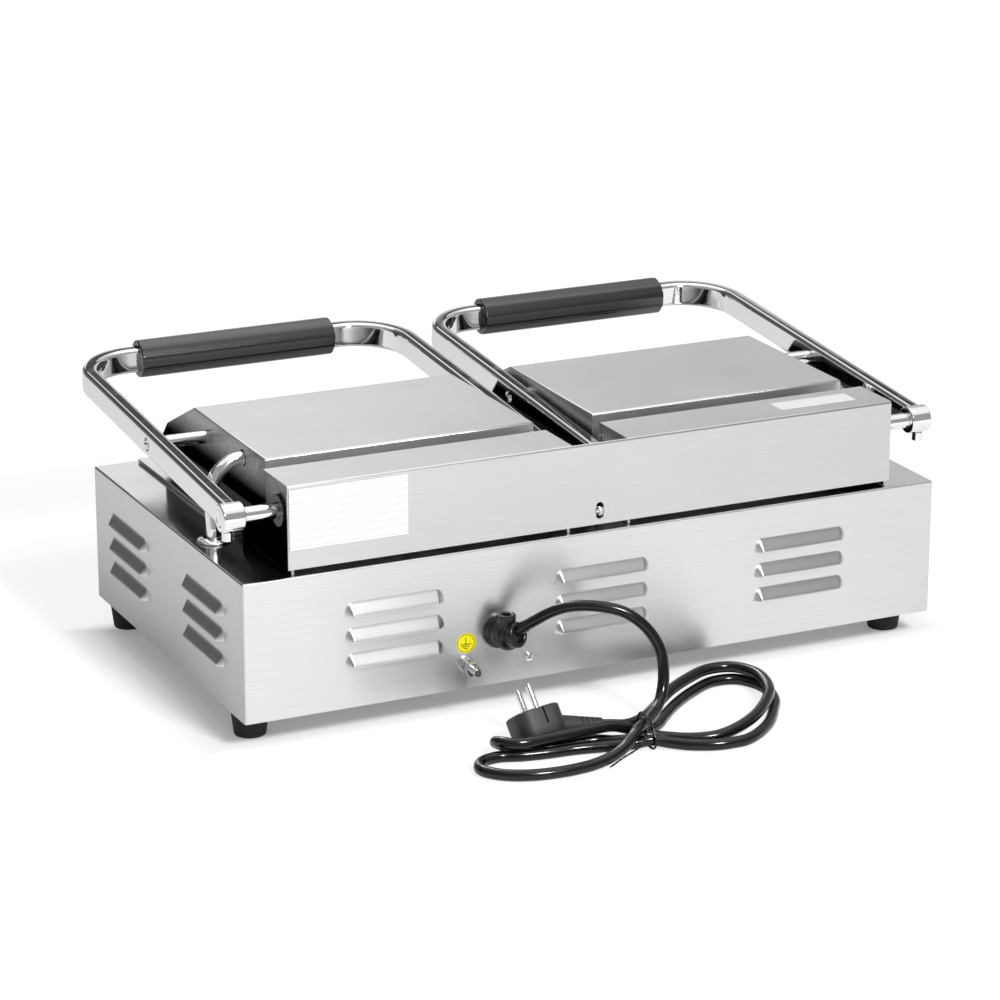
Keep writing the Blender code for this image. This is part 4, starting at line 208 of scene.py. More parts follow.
class GrillColours(bpy.types.PropertyGroup):
    steel: colour("Stainless steel", "Brushed sheet of the base, lids and casing", "#e9eaea")
    plate: colour("Plain steel", "Unbrushed sheet inside", "#c2c4c6")
    chrome: colour("Chrome", "Polished handles, rods and shafts", "#f2f3f4")
    iron: colour("Cast iron", "Ribbed grill plates", "#29292b")
    phenolic: colour("Phenolic", "Black grips, knobs and gland", "#0e0e0f")
    sheath: colour("Cord sheath", "Black sheath of the mains cord", "#060607")
    plug: colour("Plug", "Textured moulding of the plug", "#2c2c2d")
    foot: colour("Foot rubber", "Black rubber feet", "#121212")
    spring: colour("Spring wire", "Oiled wire of the torsion springs", "#8f9296")
    element: colour("Element sheath", "Heat-tinted sheath of the elements", "#8d857c")
    ceramic: colour("Ceramic", "Ivory bodies of the thermostats and terminals", "#dfdacf")
    green: colour("Switch green", "Rockers of the power switches", "#1f9e46")
    amber: colour("Lamp amber", "Lenses of the pilot lamps", "#ee7a12")
    zinc: colour("Zinc plate", "Stud and nuts of the earth point", "#dfe2e4")
    foil: colour("Label", "Blank data plate and strip", "#ededec")
    sticker: colour("Earth yellow", "Sticker beside the earth point", "#f2e500")
    mark: colour("Earth mark", "Black mark on the sticker", "#161614")
    floor: colour("Floor", "Pale studio floor", "#f7f7f7")


def sizes():
    return bpy.context.scene.grill_sizes


def colours():
    return bpy.context.scene.grill_colours


# Materials


def add_node(tree, kind, inputs=(), output=0, **settings):
    """Adds a node with its settings, fills its sockets, in order or by name, with values or with other
    nodes' outputs, and gives back one of its outputs."""
    node = tree.nodes.new(f"ShaderNode{kind}")
    for key, value in settings.items():
        setattr(node, key, value)
    for socket, value in inputs.items() if isinstance(inputs, dict) else enumerate(inputs):
        if isinstance(value, bpy.types.NodeSocket):
            tree.links.new(value, node.inputs[socket])
        else:
            node.inputs[socket].default_value = value
    return node.outputs[output]


def new_material(name, base, metallic, roughness):
    """An empty finish with its shader's fixed values set."""
    material = bpy.data.materials.new(name)
    material.use_nodes = True
    tree = material.node_tree
    shader = tree.nodes["Principled BSDF"]
    shader.inputs["Base Color"].default_value = base
    shader.inputs["Metallic"].default_value = metallic
    shader.inputs["Roughness"].default_value = roughness
    return material, tree, shader


def shade_of(base, share):
    return [c * share for c in base[:3]] + [1.0]


def patches(tree, scale, detail=3.0):
    """Cloudy patches on the piece's own place, about one metre divided by the scale across."""
    place = add_node(tree, "TexCoord", output="Object")
    return add_node(tree, "TexNoise", {"Vector": place, "Scale": scale, "Detail": detail})


def vary(tree, shader, pattern, tones=None, roughness=None, bump=None, start=0.3, end=0.7):
    """Lets a finish follow a pattern: from the first to the second of two tones or roughnesses while the
    pattern goes from start to end, and raised by a bump of a strength and a height."""
    if tones:
        share = add_node(tree, "MapRange", (pattern, start, end))
        inputs = {"Factor": share, "A": tones[0], "B": tones[1]}
        tone = add_node(tree, "Mix", inputs, "Result", data_type="RGBA")
        tree.links.new(tone, shader.inputs["Base Color"])
    if roughness:
        dull = add_node(tree, "MapRange", (pattern, start, end, *roughness))
        tree.links.new(dull, shader.inputs["Roughness"])
    if bump:
        inputs = {"Height": pattern, "Strength": bump[0], "Distance": bump[1]}
        tree.links.new(add_node(tree, "Bump", inputs), shader.inputs["Normal"])


def facing(tree, axis):
    """How squarely a face looks along an axis, from 0 to 1."""
    normal = add_node(tree, "TexCoord", output="Normal")
    return add_node(tree, "Math", (add_node(tree, "SeparateXYZ", (normal,), axis),), operation="ABSOLUTE")


def by_flatness(tree, wall, top):
    """One vector on upright faces and another on level ones."""
    inputs = {"Factor": facing(tree, "Z"), "A": wall, "B": top}
    return add_node(tree, "Mix", inputs, "Result", data_type="VECTOR")


def ground_grain(tree, fine, coarse):
    """Streaks of a fine width and a coarse length, level on walls and along X on tops."""
    place = add_node(tree, "TexCoord", output="Object")
    squeeze = by_flatness(tree, (1 / coarse, 1 / coarse, 1 / fine), (1 / coarse, 1 / fine, 1 / coarse))
    streaks = add_node(tree, "VectorMath", (place, squeeze), operation="MULTIPLY")
    return add_node(tree, "TexNoise", {"Vector": streaks, "Scale": 1.0, "Detail": 2.0})


def brushed_stainless(name, low, high, mottle, rear_shade_share, top_roughness, side_reflection_paint=None):
    """Stainless 1.4301 sheet, belt-ground: level grain that stretches reflections across itself. Painted shade and
    reflection: faces that look sideways, seen at a glancing angle, get their colour darkened to a share given for
    a low and a high place as (height, share), with a painted mottle, and take the side reflection paint as their
    specular tint. Faces that look forwards or back are darkened to the rear shade share, and sloping faces get a
    painted shade."""
    base = colours().steel
    material, tree, shader = new_material(name, base, 1.0, 0.3)
    shader.inputs["Anisotropic"].default_value = 0.7
    tree.links.new(by_flatness(tree, (0, 0, 1), (0, 1, 0)), shader.inputs["Tangent"])
    # Real grain is near 0.1 mm wide; 0.45 mm is the finest that shows at this distance
    grain = ground_grain(tree, 0.00045, 0.055)
    vary(tree, shader, grain, bump=(0.06, 0.00005))
    ground = add_node(tree, "MapRange", (grain, 0.3, 0.7, 0.92, 1.0))
    # Painted shade: faces that look forwards or back are darkened to the rear shade share
    rear = add_node(tree, "MapRange", (facing(tree, "Y"), 0.8, 0.97, 1.0, rear_shade_share))
    wall = add_node(tree, "Math", (ground, rear), operation="MULTIPLY")
    # Painted shade: faces sloping between upright and level, such as the hoods' slopes, are darkened to 0.7 of the
    # colour; level faces keep the full colour
    painted_slope_shade = add_node(tree, "MapRange", (facing(tree, "Z"), 0.05, 0.35, 1.0, 0.7))
    flat = add_node(tree, "MapRange", (facing(tree, "Z"), 0.7, 0.95))
    pressed = add_node(tree, "Math", (painted_slope_shade, flat), operation="MAXIMUM")
    wall = add_node(tree, "Math", (wall, pressed), operation="MULTIPLY")
    # Painted mottled reflection on the ends, in patches of about 3 mm
    bloom = add_node(tree, "MapRange", (patches(tree, 300.0), 0.3, 0.7, 1 - mottle, 1 + mottle))
    # Painted shade on faces that look sideways: their colour goes from the low share at the low height to the high
    # share at the high height
    height = add_node(tree, "SeparateXYZ", (add_node(tree, "TexCoord", output="Object"),), "Z")
    share = add_node(tree, "MapRange", (height, low[0], high[0], low[1], high[1]))
    end = add_node(tree, "Math", (share, bloom), operation="MULTIPLY", use_clamp=True)
    sideways = add_node(tree, "MapRange", (facing(tree, "X"), 0.8, 0.95))
    tone = add_node(tree, "Mix", {"Factor": sideways, "A": wall, "B": end}, "Result", data_type="FLOAT")
    toned = add_node(tree, "VectorMath", {"Vector": base[:3], "Scale": tone}, operation="SCALE")
    tree.links.new(toned, shader.inputs["Base Color"])
    # Painted dark reflection: faces that look sideways take the side reflection paint as their specular tint
    if side_reflection_paint:
        inputs = {"Factor": sideways, "A": (1, 1, 1, 1), "B": side_reflection_paint}
        tint = add_node(tree, "Mix", inputs, "Result", data_type="RGBA")
        tree.links.new(tint, shader.inputs["Specular Tint"])
    # Handling marks, about 70 mm long
    marks = add_node(tree, "MapRange", (patches(tree, 14.0), 0.3, 0.7, -0.02, 0.02))
    polish = add_node(tree, "MapRange", (facing(tree, "Z"), 0.7, 0.95, 0.31, top_roughness))
    tree.links.new(add_node(tree, "Math", (polish, marks), operation="ADD"), shader.inputs["Roughness"])
    return material


def rolled_steel():
    """Plain rolled sheet: duller and without grain, with soft cloudy stains of about 20 mm."""
    base = colours().plate
    material, tree, shader = new_material("Plain rolled steel", base, 1.0, 0.42)
    vary(tree, shader, patches(tree, 45.0, 4.0), (shade_of(base, 0.8), base), (0.36, 0.5))
    return material


def polished_chrome():
    """Chrome plate over polished steel: mirror clear, with a breath of smudging."""
    material, tree, shader = new_material("Polished chrome plate", colours().chrome, 1.0, 0.05)
    vary(tree, shader, patches(tree, 60.0), roughness=(0.03, 0.11), start=0.45, end=0.75)
    # Slow polishing waves, about 15 mm long
    vary(tree, shader, patches(tree, 65.0, 0.0), bump=(0.05, 0.0003))
    return material


def seasoned_iron():
    """Machined cast iron, oiled and seasoned: near-black with a grainy skin of half-millimetre pits."""
    base = colours().iron
    material, tree, shader = new_material("Seasoned cast iron", base, 0.35, 0.5)
    vary(tree, shader, patches(tree, 30.0, 4.0), (shade_of(base, 0.7), shade_of(base, 1.5)), (0.4, 0.6))
    vary(tree, shader, patches(tree, 1800.0, 2.0), bump=(0.35, 0.0002))
    return material


def moulded_phenolic():
    """Black phenolic moulding: hard gloss dulled by handling, with faint flow swirls of about 5 mm."""
    base = colours().phenolic
    material, tree, shader = new_material("Moulded black phenolic", base, 0.0, 0.3)
    vary(tree, shader, patches(tree, 220.0, 4.0), (base, shade_of(base, 1.3)), (0.26, 0.3))
    return material


def drawn_grip():
    """Phenolic tube drawn through a fluted die: glossier, with drag lines along it, about 1 mm apart."""
    base = colours().phenolic
    material, tree, shader = new_material("Drawn phenolic grip", base, 0.0, 0.25)
    shader.inputs["Specular IOR Level"].default_value = 1.0
    place = add_node(tree, "TexCoord", output="Object")
    along = add_node(tree, "VectorMath", (place, (6, 900, 900)), operation="MULTIPLY")
    drag = add_node(tree, "TexNoise", {"Vector": along, "Scale": 1.0, "Detail": 2.0})
    vary(tree, shader, drag, (base, shade_of(base, 1.6)), (0.12, 0.22), (0.05, 0.00003))
    return material


def foot_rubber():
    """Moulded rubber: matt black with a fine bloom."""
    base = colours().foot
    material, tree, shader = new_material("Moulded foot rubber", base, 0.0, 0.72)
    vary(tree, shader, patches(tree, 500.0), (base, shade_of(base, 1.7)), bump=(0.15, 0.0002))
    return material


def cord_sheath():
    """Extruded PVC sheath: glossy black that shows long clear highlights, with slight waves of the cores."""
    base = colours().sheath
    material, tree, shader = new_material("Extruded PVC sheath", base, 0.0, 0.2)
    shader.inputs["Specular IOR Level"].default_value = 0.3
    shader.inputs["Coat Weight"].default_value = 0.35
    shader.inputs["Coat Roughness"].default_value = 0.1
    vary(tree, shader, patches(tree, 260.0, 4.0), (base, shade_of(base, 1.4)), (0.16, 0.24))
    vary(tree, shader, patches(tree, 130.0, 1.0), bump=(0.05, 0.0004))
    return material


def spark_eroded_pvc():
    """Plug moulding from a spark-eroded tool: dark grey with a fine pebbled skin, half-millimetre grains."""
    base = colours().plug
    material, tree, shader = new_material("Spark-eroded PVC moulding", base, 0.0, 0.5)
    place = add_node(tree, "TexCoord", output="Object")
    pebble = add_node(tree, "TexVoronoi", {"Vector": place, "Scale": 1900.0}, "Distance", feature="SMOOTH_F1")
    tones = (shade_of(base, 0.75), shade_of(base, 1.35))
    vary(tree, shader, pebble, tones, bump=(0.4, 0.0002), start=0.1)
    return material


def oiled_spring_wire():
    """Hard-drawn spring wire: dark, with patches of an oil film."""
    base = colours().spring
    material, tree, shader = new_material("Oiled spring wire", base, 1.0, 0.32)
    vary(tree, shader, patches(tree, 240.0), (shade_of(base, 0.55), base))
    return material


def tinted_element():
    """Stainless element sheath after heating: straw and brown stretches of about 30 mm."""
    base = colours().element
    material, tree, shader = new_material("Heat-tinted element sheath", base, 0.9, 0.45)
    vary(tree, shader, patches(tree, 35.0, 2.0), (linear("#6c5b49"), base))
    return material


def pressed_ceramic():
    """Steatite bodies: ivory and dull, with small dark specks."""
    base = colours().ceramic
    material, tree, shader = new_material("Pressed steatite", base, 0.0, 0.6)
    vary(tree, shader, patches(tree, 900.0, 2.0), (base, shade_of(base, 0.6)), start=0.62)
    return material


def clear_moulding(name, base):
    """Tinted polycarbonate: glossy and a little see-through, with uneven depth of colour."""
    material, tree, shader = new_material(name, base, 0.0, 0.16)
    shader.inputs["Transmission Weight"].default_value = 0.25
    shader.inputs["IOR"].default_value = 1.58
    vary(tree, shader, patches(tree, 160.0, 2.0), (shade_of(base, 0.75), base))
    return material


def zinc_plate():
    """Zinc-plated steel: bright and bluish, with duller spangles of about 0.7 mm."""
    base = colours().zinc
    material, tree, shader = new_material("Zinc-plated steel", base, 1.0, 0.2)
    vary(tree, shader, patches(tree, 1500.0, 2.0), (shade_of(base, 0.75), base), (0.14, 0.3))
    return material


def label_film():
    """White polyester label film: even, with a slight satin unevenness."""
    base = colours().foil
    material, tree, shader = new_material("White label film", base, 0.0, 0.42)
    vary(tree, shader, patches(tree, 320.0, 2.0), (shade_of(base, 0.985), base))
    return material


def ruled_film():
    """The label film with thin grey rules 5.5 mm apart and no print."""
    base = colours().foil
    material, tree, shader = new_material("Ruled label film", base, 0.0, 0.42)
    height = add_node(tree, "SeparateXYZ", (add_node(tree, "TexCoord", output="Object"),), "Z")
    rows = add_node(tree, "Math", (height, 0.0055), operation="DIVIDE")
    # Each rule is a twelfth of a row, near 0.5 mm
    row = add_node(tree, "Math", (rows,), operation="FRACT")
    vary(tree, shader, row, (shade_of(base, 0.72), base), start=0.08, end=0.1)
    return material


def printed_film(name, base):
    """Printed vinyl: saturated ink with a faint mottle of about 2 mm."""
    material, tree, shader = new_material(name, base, 0.0, 0.4)
    vary(tree, shader, patches(tree, 500.0, 2.0), (shade_of(base, 0.92), base))
    return material


FINISHES = {}


def make_finishes():
    smoke = (0.1, 0.1, 0.1, 1)
    FINISHES.update(
        # The base: painted shade on its sides, 0.67 of the colour at 30 mm rising to 0.86 at 125 mm, and its rear
        # faces a little darker
        brushed_steel=brushed_stainless(
            "Brushed stainless sheet", (0.03, 0.67), (0.125, 0.86), 0.02, 0.97, 0.14
        ),
        # Painted dark reflection: the ends of the lids and casing are darkened in colour and specular tint,
        # standing in for a dark corner of the studio that they would mirror
        smoked_steel=brushed_stainless(
            "Brushed stainless sheet with smoked ends", (0.163, 0.03), (0.19, 1.0), 0.14, 0.87, 0.3, smoke
        ),
        steel_plate=rolled_steel(),
        chrome=polished_chrome(),
        cast_iron=seasoned_iron(),
        drawn_grip=drawn_grip(),
        foot_rubber=foot_rubber(),
        cable_rubber=cord_sheath(),
        plug_rubber=spark_eroded_pvc(),
        spring_steel=oiled_spring_wire(),
        element_steel=tinted_element(),
        thermoset=pressed_ceramic(),
        switch_green=clear_moulding("Green rocker polycarbonate", colours().green),
        lamp_orange=clear_moulding("Amber lens polycarbonate", colours().amber),
        zinc=zinc_plate(),
        blank_label=label_film(),
        ruled_label=ruled_film(),
        sticker=printed_film("Yellow printed vinyl", colours().sticker),
        mark=printed_film("Black printed vinyl", colours().mark),
    )
    # The gland's slot is shared by the knobs, bushes and switch frames
    FINISHES[SLOTS["cable_gland"]] = moulded_phenolic()


# Modelling steps shared by the pieces


def pick_only(piece):
    """Makes a piece the only one selected, and the active one."""
    bpy.ops.object.select_all(action="DESELECT")
    piece.select_set(True)
    bpy.context.view_layer.objects.active = piece


@contextmanager
def editing(piece):
    pick_only(piece)
    bpy.ops.object.mode_set(mode="EDIT")
    yield
    bpy.ops.object.mode_set(mode="OBJECT")


def select_where(piece, wanted, kind="VERT"):
    """Selects the points or edges in edit mode that pass a test."""
    bpy.ops.mesh.select_all(action="DESELECT")
    bpy.context.tool_settings.mesh_select_mode = (kind == "VERT", kind == "EDGE", False)
    shape = bmesh.from_edit_mesh(piece.data)
    for element in shape.verts if kind == "VERT" else shape.edges:
        element.select_set(wanted(element))
    shape.select_flush_mode()
    bmesh.update_edit_mesh(piece.data)


def with_modifier(piece, kind, **settings):
    """Adds a modifier to a piece and applies it at once."""
    pick_only(piece)
    modifier = piece.modifiers.new(kind.title(), kind)
    for key, value in settings.items():
        setattr(modifier, key, value)
    bpy.ops.object.modifier_apply(modifier=modifier.name)


def rounded(piece, width):
    """Breaks every sharp edge of a piece by a narrow round."""
    with_modifier(
        piece, "BEVEL", width=width, segments=2, limit_method="ANGLE", angle_limit=SHARP, harden_normals=False
    )


def settle(piece):
    """Puts the piece's place into its mesh and shades it smooth up to the sharp edges."""
    pick_only(piece)
    bpy.ops.object.transform_apply(location=True, rotation=True, scale=True)
    bpy.ops.object.shade_smooth_by_angle(angle=SHARP)
    with_modifier(piece, "WEIGHTED_NORMAL", keep_sharp=True)


def attach(piece, finish, body=None):
    """Gives a piece its finish and the body it rides on; a piece that names none rides on no body."""
    piece.data.materials.clear()
    piece.data.materials.append(FINISHES[finish])
    if body:
        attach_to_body(piece, body)
    return piece


def body_of(node):
    return next(body for body, nodes in BODIES.items() if node in nodes)


def closed_copy(node):
    """A copy of a CAD piece as one closed skin with its flat faces whole."""
    piece = bpy.data.objects.new(f"{node}_skin", frame["nodes"][node].data.copy())
    bpy.context.scene.collection.objects.link(piece)
    with editing(piece):
        bpy.ops.mesh.select_all(action="SELECT")
        bpy.ops.mesh.remove_doubles(threshold=MERGE)
        bpy.ops.mesh.dissolve_limited(angle_limit=math.radians(0.5))
    return piece


def softened(node, edge=0.0, finish=None):
    """A closed copy of a CAD piece whose edges are broken by a narrow round, in the piece's place."""
    piece = closed_copy(node)
    if edge:
        rounded(piece, edge)
    settle(piece)
    attach(piece, finish or SLOTS[node], body_of(node))
    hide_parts(node)
    return piece


def joined(pieces, name):
    """Joins pieces into the first of them, under a new name."""
    bpy.ops.object.select_all(action="DESELECT")
    for piece in pieces:
        piece.select_set(True)
    bpy.context.view_layer.objects.active = pieces[0]
    bpy.ops.object.join()
    pieces[0].name = name
    return pieces[0]


def copied(piece, matrix):
    """A copy of a piece with its own mesh, moved by a matrix that neither mirrors nor scales."""
    twin = piece.copy()
    twin.data = piece.data.copy()
    bpy.context.scene.collection.objects.link(twin)
    twin.data.transform(matrix)
    return twin


def turned(name, profile, direction, place, steps=48):
    """A profile of (radius, along) points spun round an axis, closed at both ends."""
    mesh = bpy.data.meshes.new(name)
    points = [(0, 0, profile[0][1])] + [(r, 0, z) for r, z in profile] + [(0, 0, profile[-1][1])]
    mesh.from_pydata(points, [(i, i + 1) for i in range(len(points) - 1)], [])
    piece = bpy.data.objects.new(name, mesh)
    bpy.context.scene.collection.objects.link(piece)
    with editing(piece):
        bpy.ops.mesh.select_all(action="SELECT")
        bpy.ops.mesh.spin(steps=steps, angle=math.tau, center=(0, 0, 0), axis=(0, 0, 1))
        bpy.ops.mesh.select_all(action="SELECT")
        bpy.ops.mesh.remove_doubles(threshold=MERGE)
        bpy.ops.mesh.normals_make_consistent(inside=False)
    turn = Vector(direction).to_track_quat("Z", "Y").to_matrix().to_4x4()
    piece.data.transform(Matrix.Translation(place) @ turn)
    return piece


def tube(name, points, radius, closed=False):
    """A round tube on a smooth line of points."""
    curve = bpy.data.curves.new(name, "CURVE")
    curve.dimensions = "3D"
    curve.bevel_depth = radius
    curve.bevel_resolution = 6
    curve.use_fill_caps = not closed
    spline = curve.splines.new("POLY")
    spline.points.add(len(points) - 1)
    for node, point in zip(spline.points, points):
        node.co = (*point, 1.0)
    spline.use_cyclic_u = closed
    spline.use_smooth = True
    piece = bpy.data.objects.new(name, curve)
    bpy.context.scene.collection.objects.link(piece)
    return piece


def as_mesh(piece):
    pick_only(piece)
    bpy.ops.object.convert(target="MESH")
    return bpy.context.view_layer.objects.active


def smooth_route(route):
    """A close row of points on the smooth curve that runs through every point of a route: a Catmull-Rom
    curve whose pace follows the square root of the distances, so that it has no loops."""
    steps = 14
    points = [Vector(point) for point in route]
    points.insert(0, points[0] * 2 - points[1])
    points.append(points[-1] * 2 - points[-2])
    dense = []
    for p0, p1, p2, p3 in zip(points, points[1:], points[2:], points[3:]):
        t1 = math.sqrt((p1 - p0).length)
        t2 = t1 + math.sqrt((p2 - p1).length)
        t3 = t2 + math.sqrt((p3 - p2).length)
        for step in range(steps):
            t = t1 + (t2 - t1) * step / steps
            a1 = p0.lerp(p1, t / t1)
            a2 = p1.lerp(p2, (t - t1) / (t2 - t1))
            a3 = p2.lerp(p3, (t - t2) / (t3 - t2))
            b1 = a1.lerp(a2, t / t2)
            b2 = a2.lerp(a3, (t - t1) / (t3 - t1))
            dense.append(b1.lerp(b2, (t - t1) / (t2 - t1)))
    dense.append(points[-2])
    return dense


def spaced(points, count):
    """The same line as evenly spaced points."""
    lengths = [0.0]
    for first, second in zip(points, points[1:]):
        lengths.append(lengths[-1] + (second - first).length)
    out = []
    at = 0
    for step in range(count):
        want = lengths[-1] * step / (count - 1)
        while at < len(points) - 2 and lengths[at + 1] < want:
            at += 1
        span = lengths[at + 1] - lengths[at]
        out.append(points[at].lerp(points[at + 1], min(1, (want - lengths[at]) / span)))
    return out


def rounded_path(corners, radius, steps):
    """A line through corners whose bends are arcs of the given radius."""
    corners = [Vector(corner) for corner in corners]
    points = [corners[0]]
    for before, corner, after in zip(corners, corners[1:], corners[2:]):
        back = (before - corner).normalized()
        ahead = (after - corner).normalized()
        half = back.angle(ahead) / 2
        centre = corner + (back + ahead).normalized() * (radius / math.sin(half))
        start = corner + back * (radius / math.tan(half)) - centre
        end = corner + ahead * (radius / math.tan(half)) - centre
        sweep = start.angle(end)
        for step in range(steps + 1):
            part = step / steps
            mix = start * math.sin((1 - part) * sweep) + end * math.sin(part * sweep)
            points.append(centre + mix / math.sin(sweep))
    points.append(corners[-1])
    return points


def gland_outlet():
    """The way the cord leaves the gland."""
    level = Vector((-math.sin(GLAND_TURN), math.cos(GLAND_TURN), 0)) * math.cos(GLAND_RISE)
    return level + Vector((0, 0, math.sin(GLAND_RISE)))


def cord_line():
    """The cord's middle line from the gland's mouth to the plug's sleeve."""
    radius = sizes().cord_radius
    out = gland_outlet()
    start = GLAND_ELBOW + out * GLAND_REACH
    tie = Vector(TIE_POINT)
    tie_way = Vector(TIE_HEADING)
    free = [start, start + out * radius * 2, *map(Vector, CORD_ROUTE), tie - tie_way * radius * 2]
    way = Vector(RELIEF_HEADING).normalized()
    # The cord ends 0.3 mm short of the plug's sleeve
    end = Vector(RELIEF_POINT) - way * 0.0003
    hank = [tie, tie + tie_way * radius * 2, *map(Vector, HANK_ROUTE), end - way * radius * 2, end]
    # The smooth line stays on the floor and inside the CAD box
    back = CAD_BOX[1][1] - radius
    return [Vector((x, min(y, back), max(z, radius + CLEAR))) for x, y, z in smooth_route(free + hank)]


class GRILL_OT_stage(bpy.types.Operator):
    """Sets up the camera at the photograph's angle, the pale floor and the soft lamps"""

    bl_idname = "grill.stage"
    bl_label = "Camera, floor and lamps"

    def execute(self, context):
        scene = context.scene
        tilt = (math.pi / 2 - CAMERA_ELEVATION, 0, CAMERA_AZIMUTH)
        bpy.ops.object.select_all(action="DESELECT")
        bpy.ops.object.camera_add(location=CAMERA_PLACE, rotation=tilt)
        camera = context.object
        camera.data.sensor_fit = "HORIZONTAL"
        camera.data.sensor_width = 36
        camera.data.lens = CAMERA_LENS
        camera.data.clip_start = 0.05
        camera.data.clip_end = 60
        scene.camera = camera
        scene.view_settings.view_transform = "Standard"
        self.floor()
        self.lamps()
        self.surroundings(scene)
        return {"FINISHED"}

    def distance_from(self, tree, value, middle):
        """How far a value lies from a middle, on either side."""
        offset = add_node(tree, "Math", (value, middle), operation="SUBTRACT")
        return add_node(tree, "Math", (offset,), operation="ABSOLUTE")

    def floor(self):
        # The floor lies a hair under the feet
        bpy.ops.mesh.primitive_plane_add(size=24, location=(0, 0, -0.0002))
        floor = bpy.context.object
        floor.name = "studio_floor"
        base = colours().floor
        material, tree, shader = new_material("Matt studio floor", base, 0.0, 0.9)
        vary(tree, shader, patches(tree, 3.0, 2.0), (shade_of(base, 0.99), base))
        floor.data.materials.append(material)
        # To the camera the floor turns pure white away from the object; this lights nothing. The share of
        # white is 0.18 under the base, full 60 mm beside it, 0.7 just behind it and full 0.7 m out.
        place = add_node(tree, "TexCoord", output="Object")
        across = self.distance_from(tree, add_node(tree, "SeparateXYZ", (place,), "X"), 0)
        along = self.distance_from(tree, add_node(tree, "SeparateXYZ", (place,), "Y"), BASE_Y)
        beside = add_node(tree, "MapRange", (across, HALF_WIDTH, HALF_WIDTH + 0.06, 0.18, 1.0))
        near, far = BASE_DEPTH / 2 - 0.025, BASE_DEPTH / 2 - 0.006
        behind = add_node(tree, "MapRange", (along, near, far, 0.18, 0.7))
        round_about = add_node(tree, "Math", (beside, behind), operation="MAXIMUM")
        reach = add_node(tree, "VectorMath", (place,), "Value", operation="LENGTH")
        away = add_node(tree, "MapRange", (reach, 0.3, 0.8, 0.0, 1.2))
        share = add_node(tree, "Math", (round_about, away), operation="MAXIMUM")
        seen = add_node(tree, "LightPath", output="Is Camera Ray")
        mirrored = add_node(tree, "LightPath", output="Is Glossy Ray")
        # Metal mirrors only a tenth of it
        to_camera = add_node(tree, "Math", (seen, share), operation="MULTIPLY")
        to_metal = add_node(tree, "Math", (mirrored, 0.1), operation="MULTIPLY")
        white = add_node(tree, "Math", (to_camera, to_metal), operation="MAXIMUM")
        glow = add_node(tree, "Emission", {"Strength": 1.12})
        mix = add_node(tree, "MixShader", (white, shader.outputs[0], glow))
        tree.links.new(mix, tree.nodes["Material Output"].inputs["Surface"])

    def lamps(self):
        # Name, place, edge in metres and power in watts: a small high key to the right of the camera, which
        # lights the rear and throws the shadow to the left, and a wide dim box overhead
        lamps = (
            ("key", (-0.26, 2.65, 2.15), 0.6, 87),
            ("top", (0.1, -0.3, 2.6), 3.0, 18),
        )
        aim = Vector((0, 0, 0.1))
        for name, place, size, power in lamps:
            bpy.ops.object.light_add(type="AREA", location=place)
            lamp = bpy.context.object
            lamp.name = f"{name}_softbox"
            lamp.data.size = size
            lamp.data.energy = power
            lamp.rotation_euler = (aim - Vector(place)).to_track_quat("-Z", "Y").to_euler()

    def surroundings(self, scene):
        world = bpy.data.worlds.new("Pale studio")
        scene.world = world
        world.use_nodes = True
        tree = world.node_tree
        way = add_node(tree, "TexCoord", output="Generated")
        x, y, z = (add_node(tree, "SeparateXYZ", (way,), axis) for axis in "XYZ")
        # A white screen on the far side, with a black flag towards +X and a dark stripe above
        screen = add_node(tree, "MapRange", (x, -0.44, -0.36, 0.64, 0.95))
        flag = add_node(tree, "MapRange", (x, -0.15, 0.05, 1.0, 0.12))
        flagged = add_node(tree, "Math", (screen, flag), operation="MINIMUM")
        stripe = add_node(tree, "MapRange", (self.distance_from(tree, z, 0.43), 0.03, 0.06, 0.08, 1.0))
        far = add_node(tree, "Math", (flagged, stripe), operation="MULTIPLY")
        # The camera's side is an even grey
        turn = add_node(tree, "MapRange", (y, -0.3, 0.1))
        walls = add_node(tree, "Mix", {"Factor": turn, "A": far, "B": 0.35}, "Result", data_type="FLOAT")
        # The ceiling is white and grows dimmer towards +X
        ceiling = add_node(tree, "MapRange", (z, 0.55, 0.75))
        dimmer = add_node(tree, "MapRange", (x, -0.1, 0.2, 1.0, 0.3))
        overhead = add_node(tree, "Math", (ceiling, dimmer), operation="MULTIPLY")
        lit = add_node(tree, "Math", (walls, overhead), operation="MAXIMUM")
        # Metal mirrors the screens, matt surfaces get an even grey, and the camera sees white
        glossy = add_node(tree, "LightPath", output="Is Glossy Ray")
        inputs = {"Factor": glossy, "A": (0.3, 0.3, 0.3, 1), "B": lit}
        plain = add_node(tree, "Mix", inputs, "Result", data_type="RGBA")
        seen = add_node(tree, "LightPath", output="Is Camera Ray")
        inputs = {"Factor": seen, "A": plain, "B": (1, 1, 1, 1)}
        shown = add_node(tree, "Mix", inputs, "Result", data_type="RGBA")
        background = tree.nodes["Background"]
        tree.links.new(shown, background.inputs["Color"])
        background.inputs["Strength"].default_value = 1.0


class GRILL_OT_mains_cord(bpy.types.Operator):
    """Lays the mains cord from the gland into its tied hank"""

    bl_idname = "grill.mains_cord"
    bl_label = "Mains cord"

    def execute(self, context):
        radius = sizes().cord_radius
        line = cord_line()
        points = spaced(line, CORD_POINTS)
        cord = attach(tube("mains_cord", points, radius), "cable_rubber", "base")
        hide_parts("power_cord", "cord_hank")
        return {"FINISHED"}


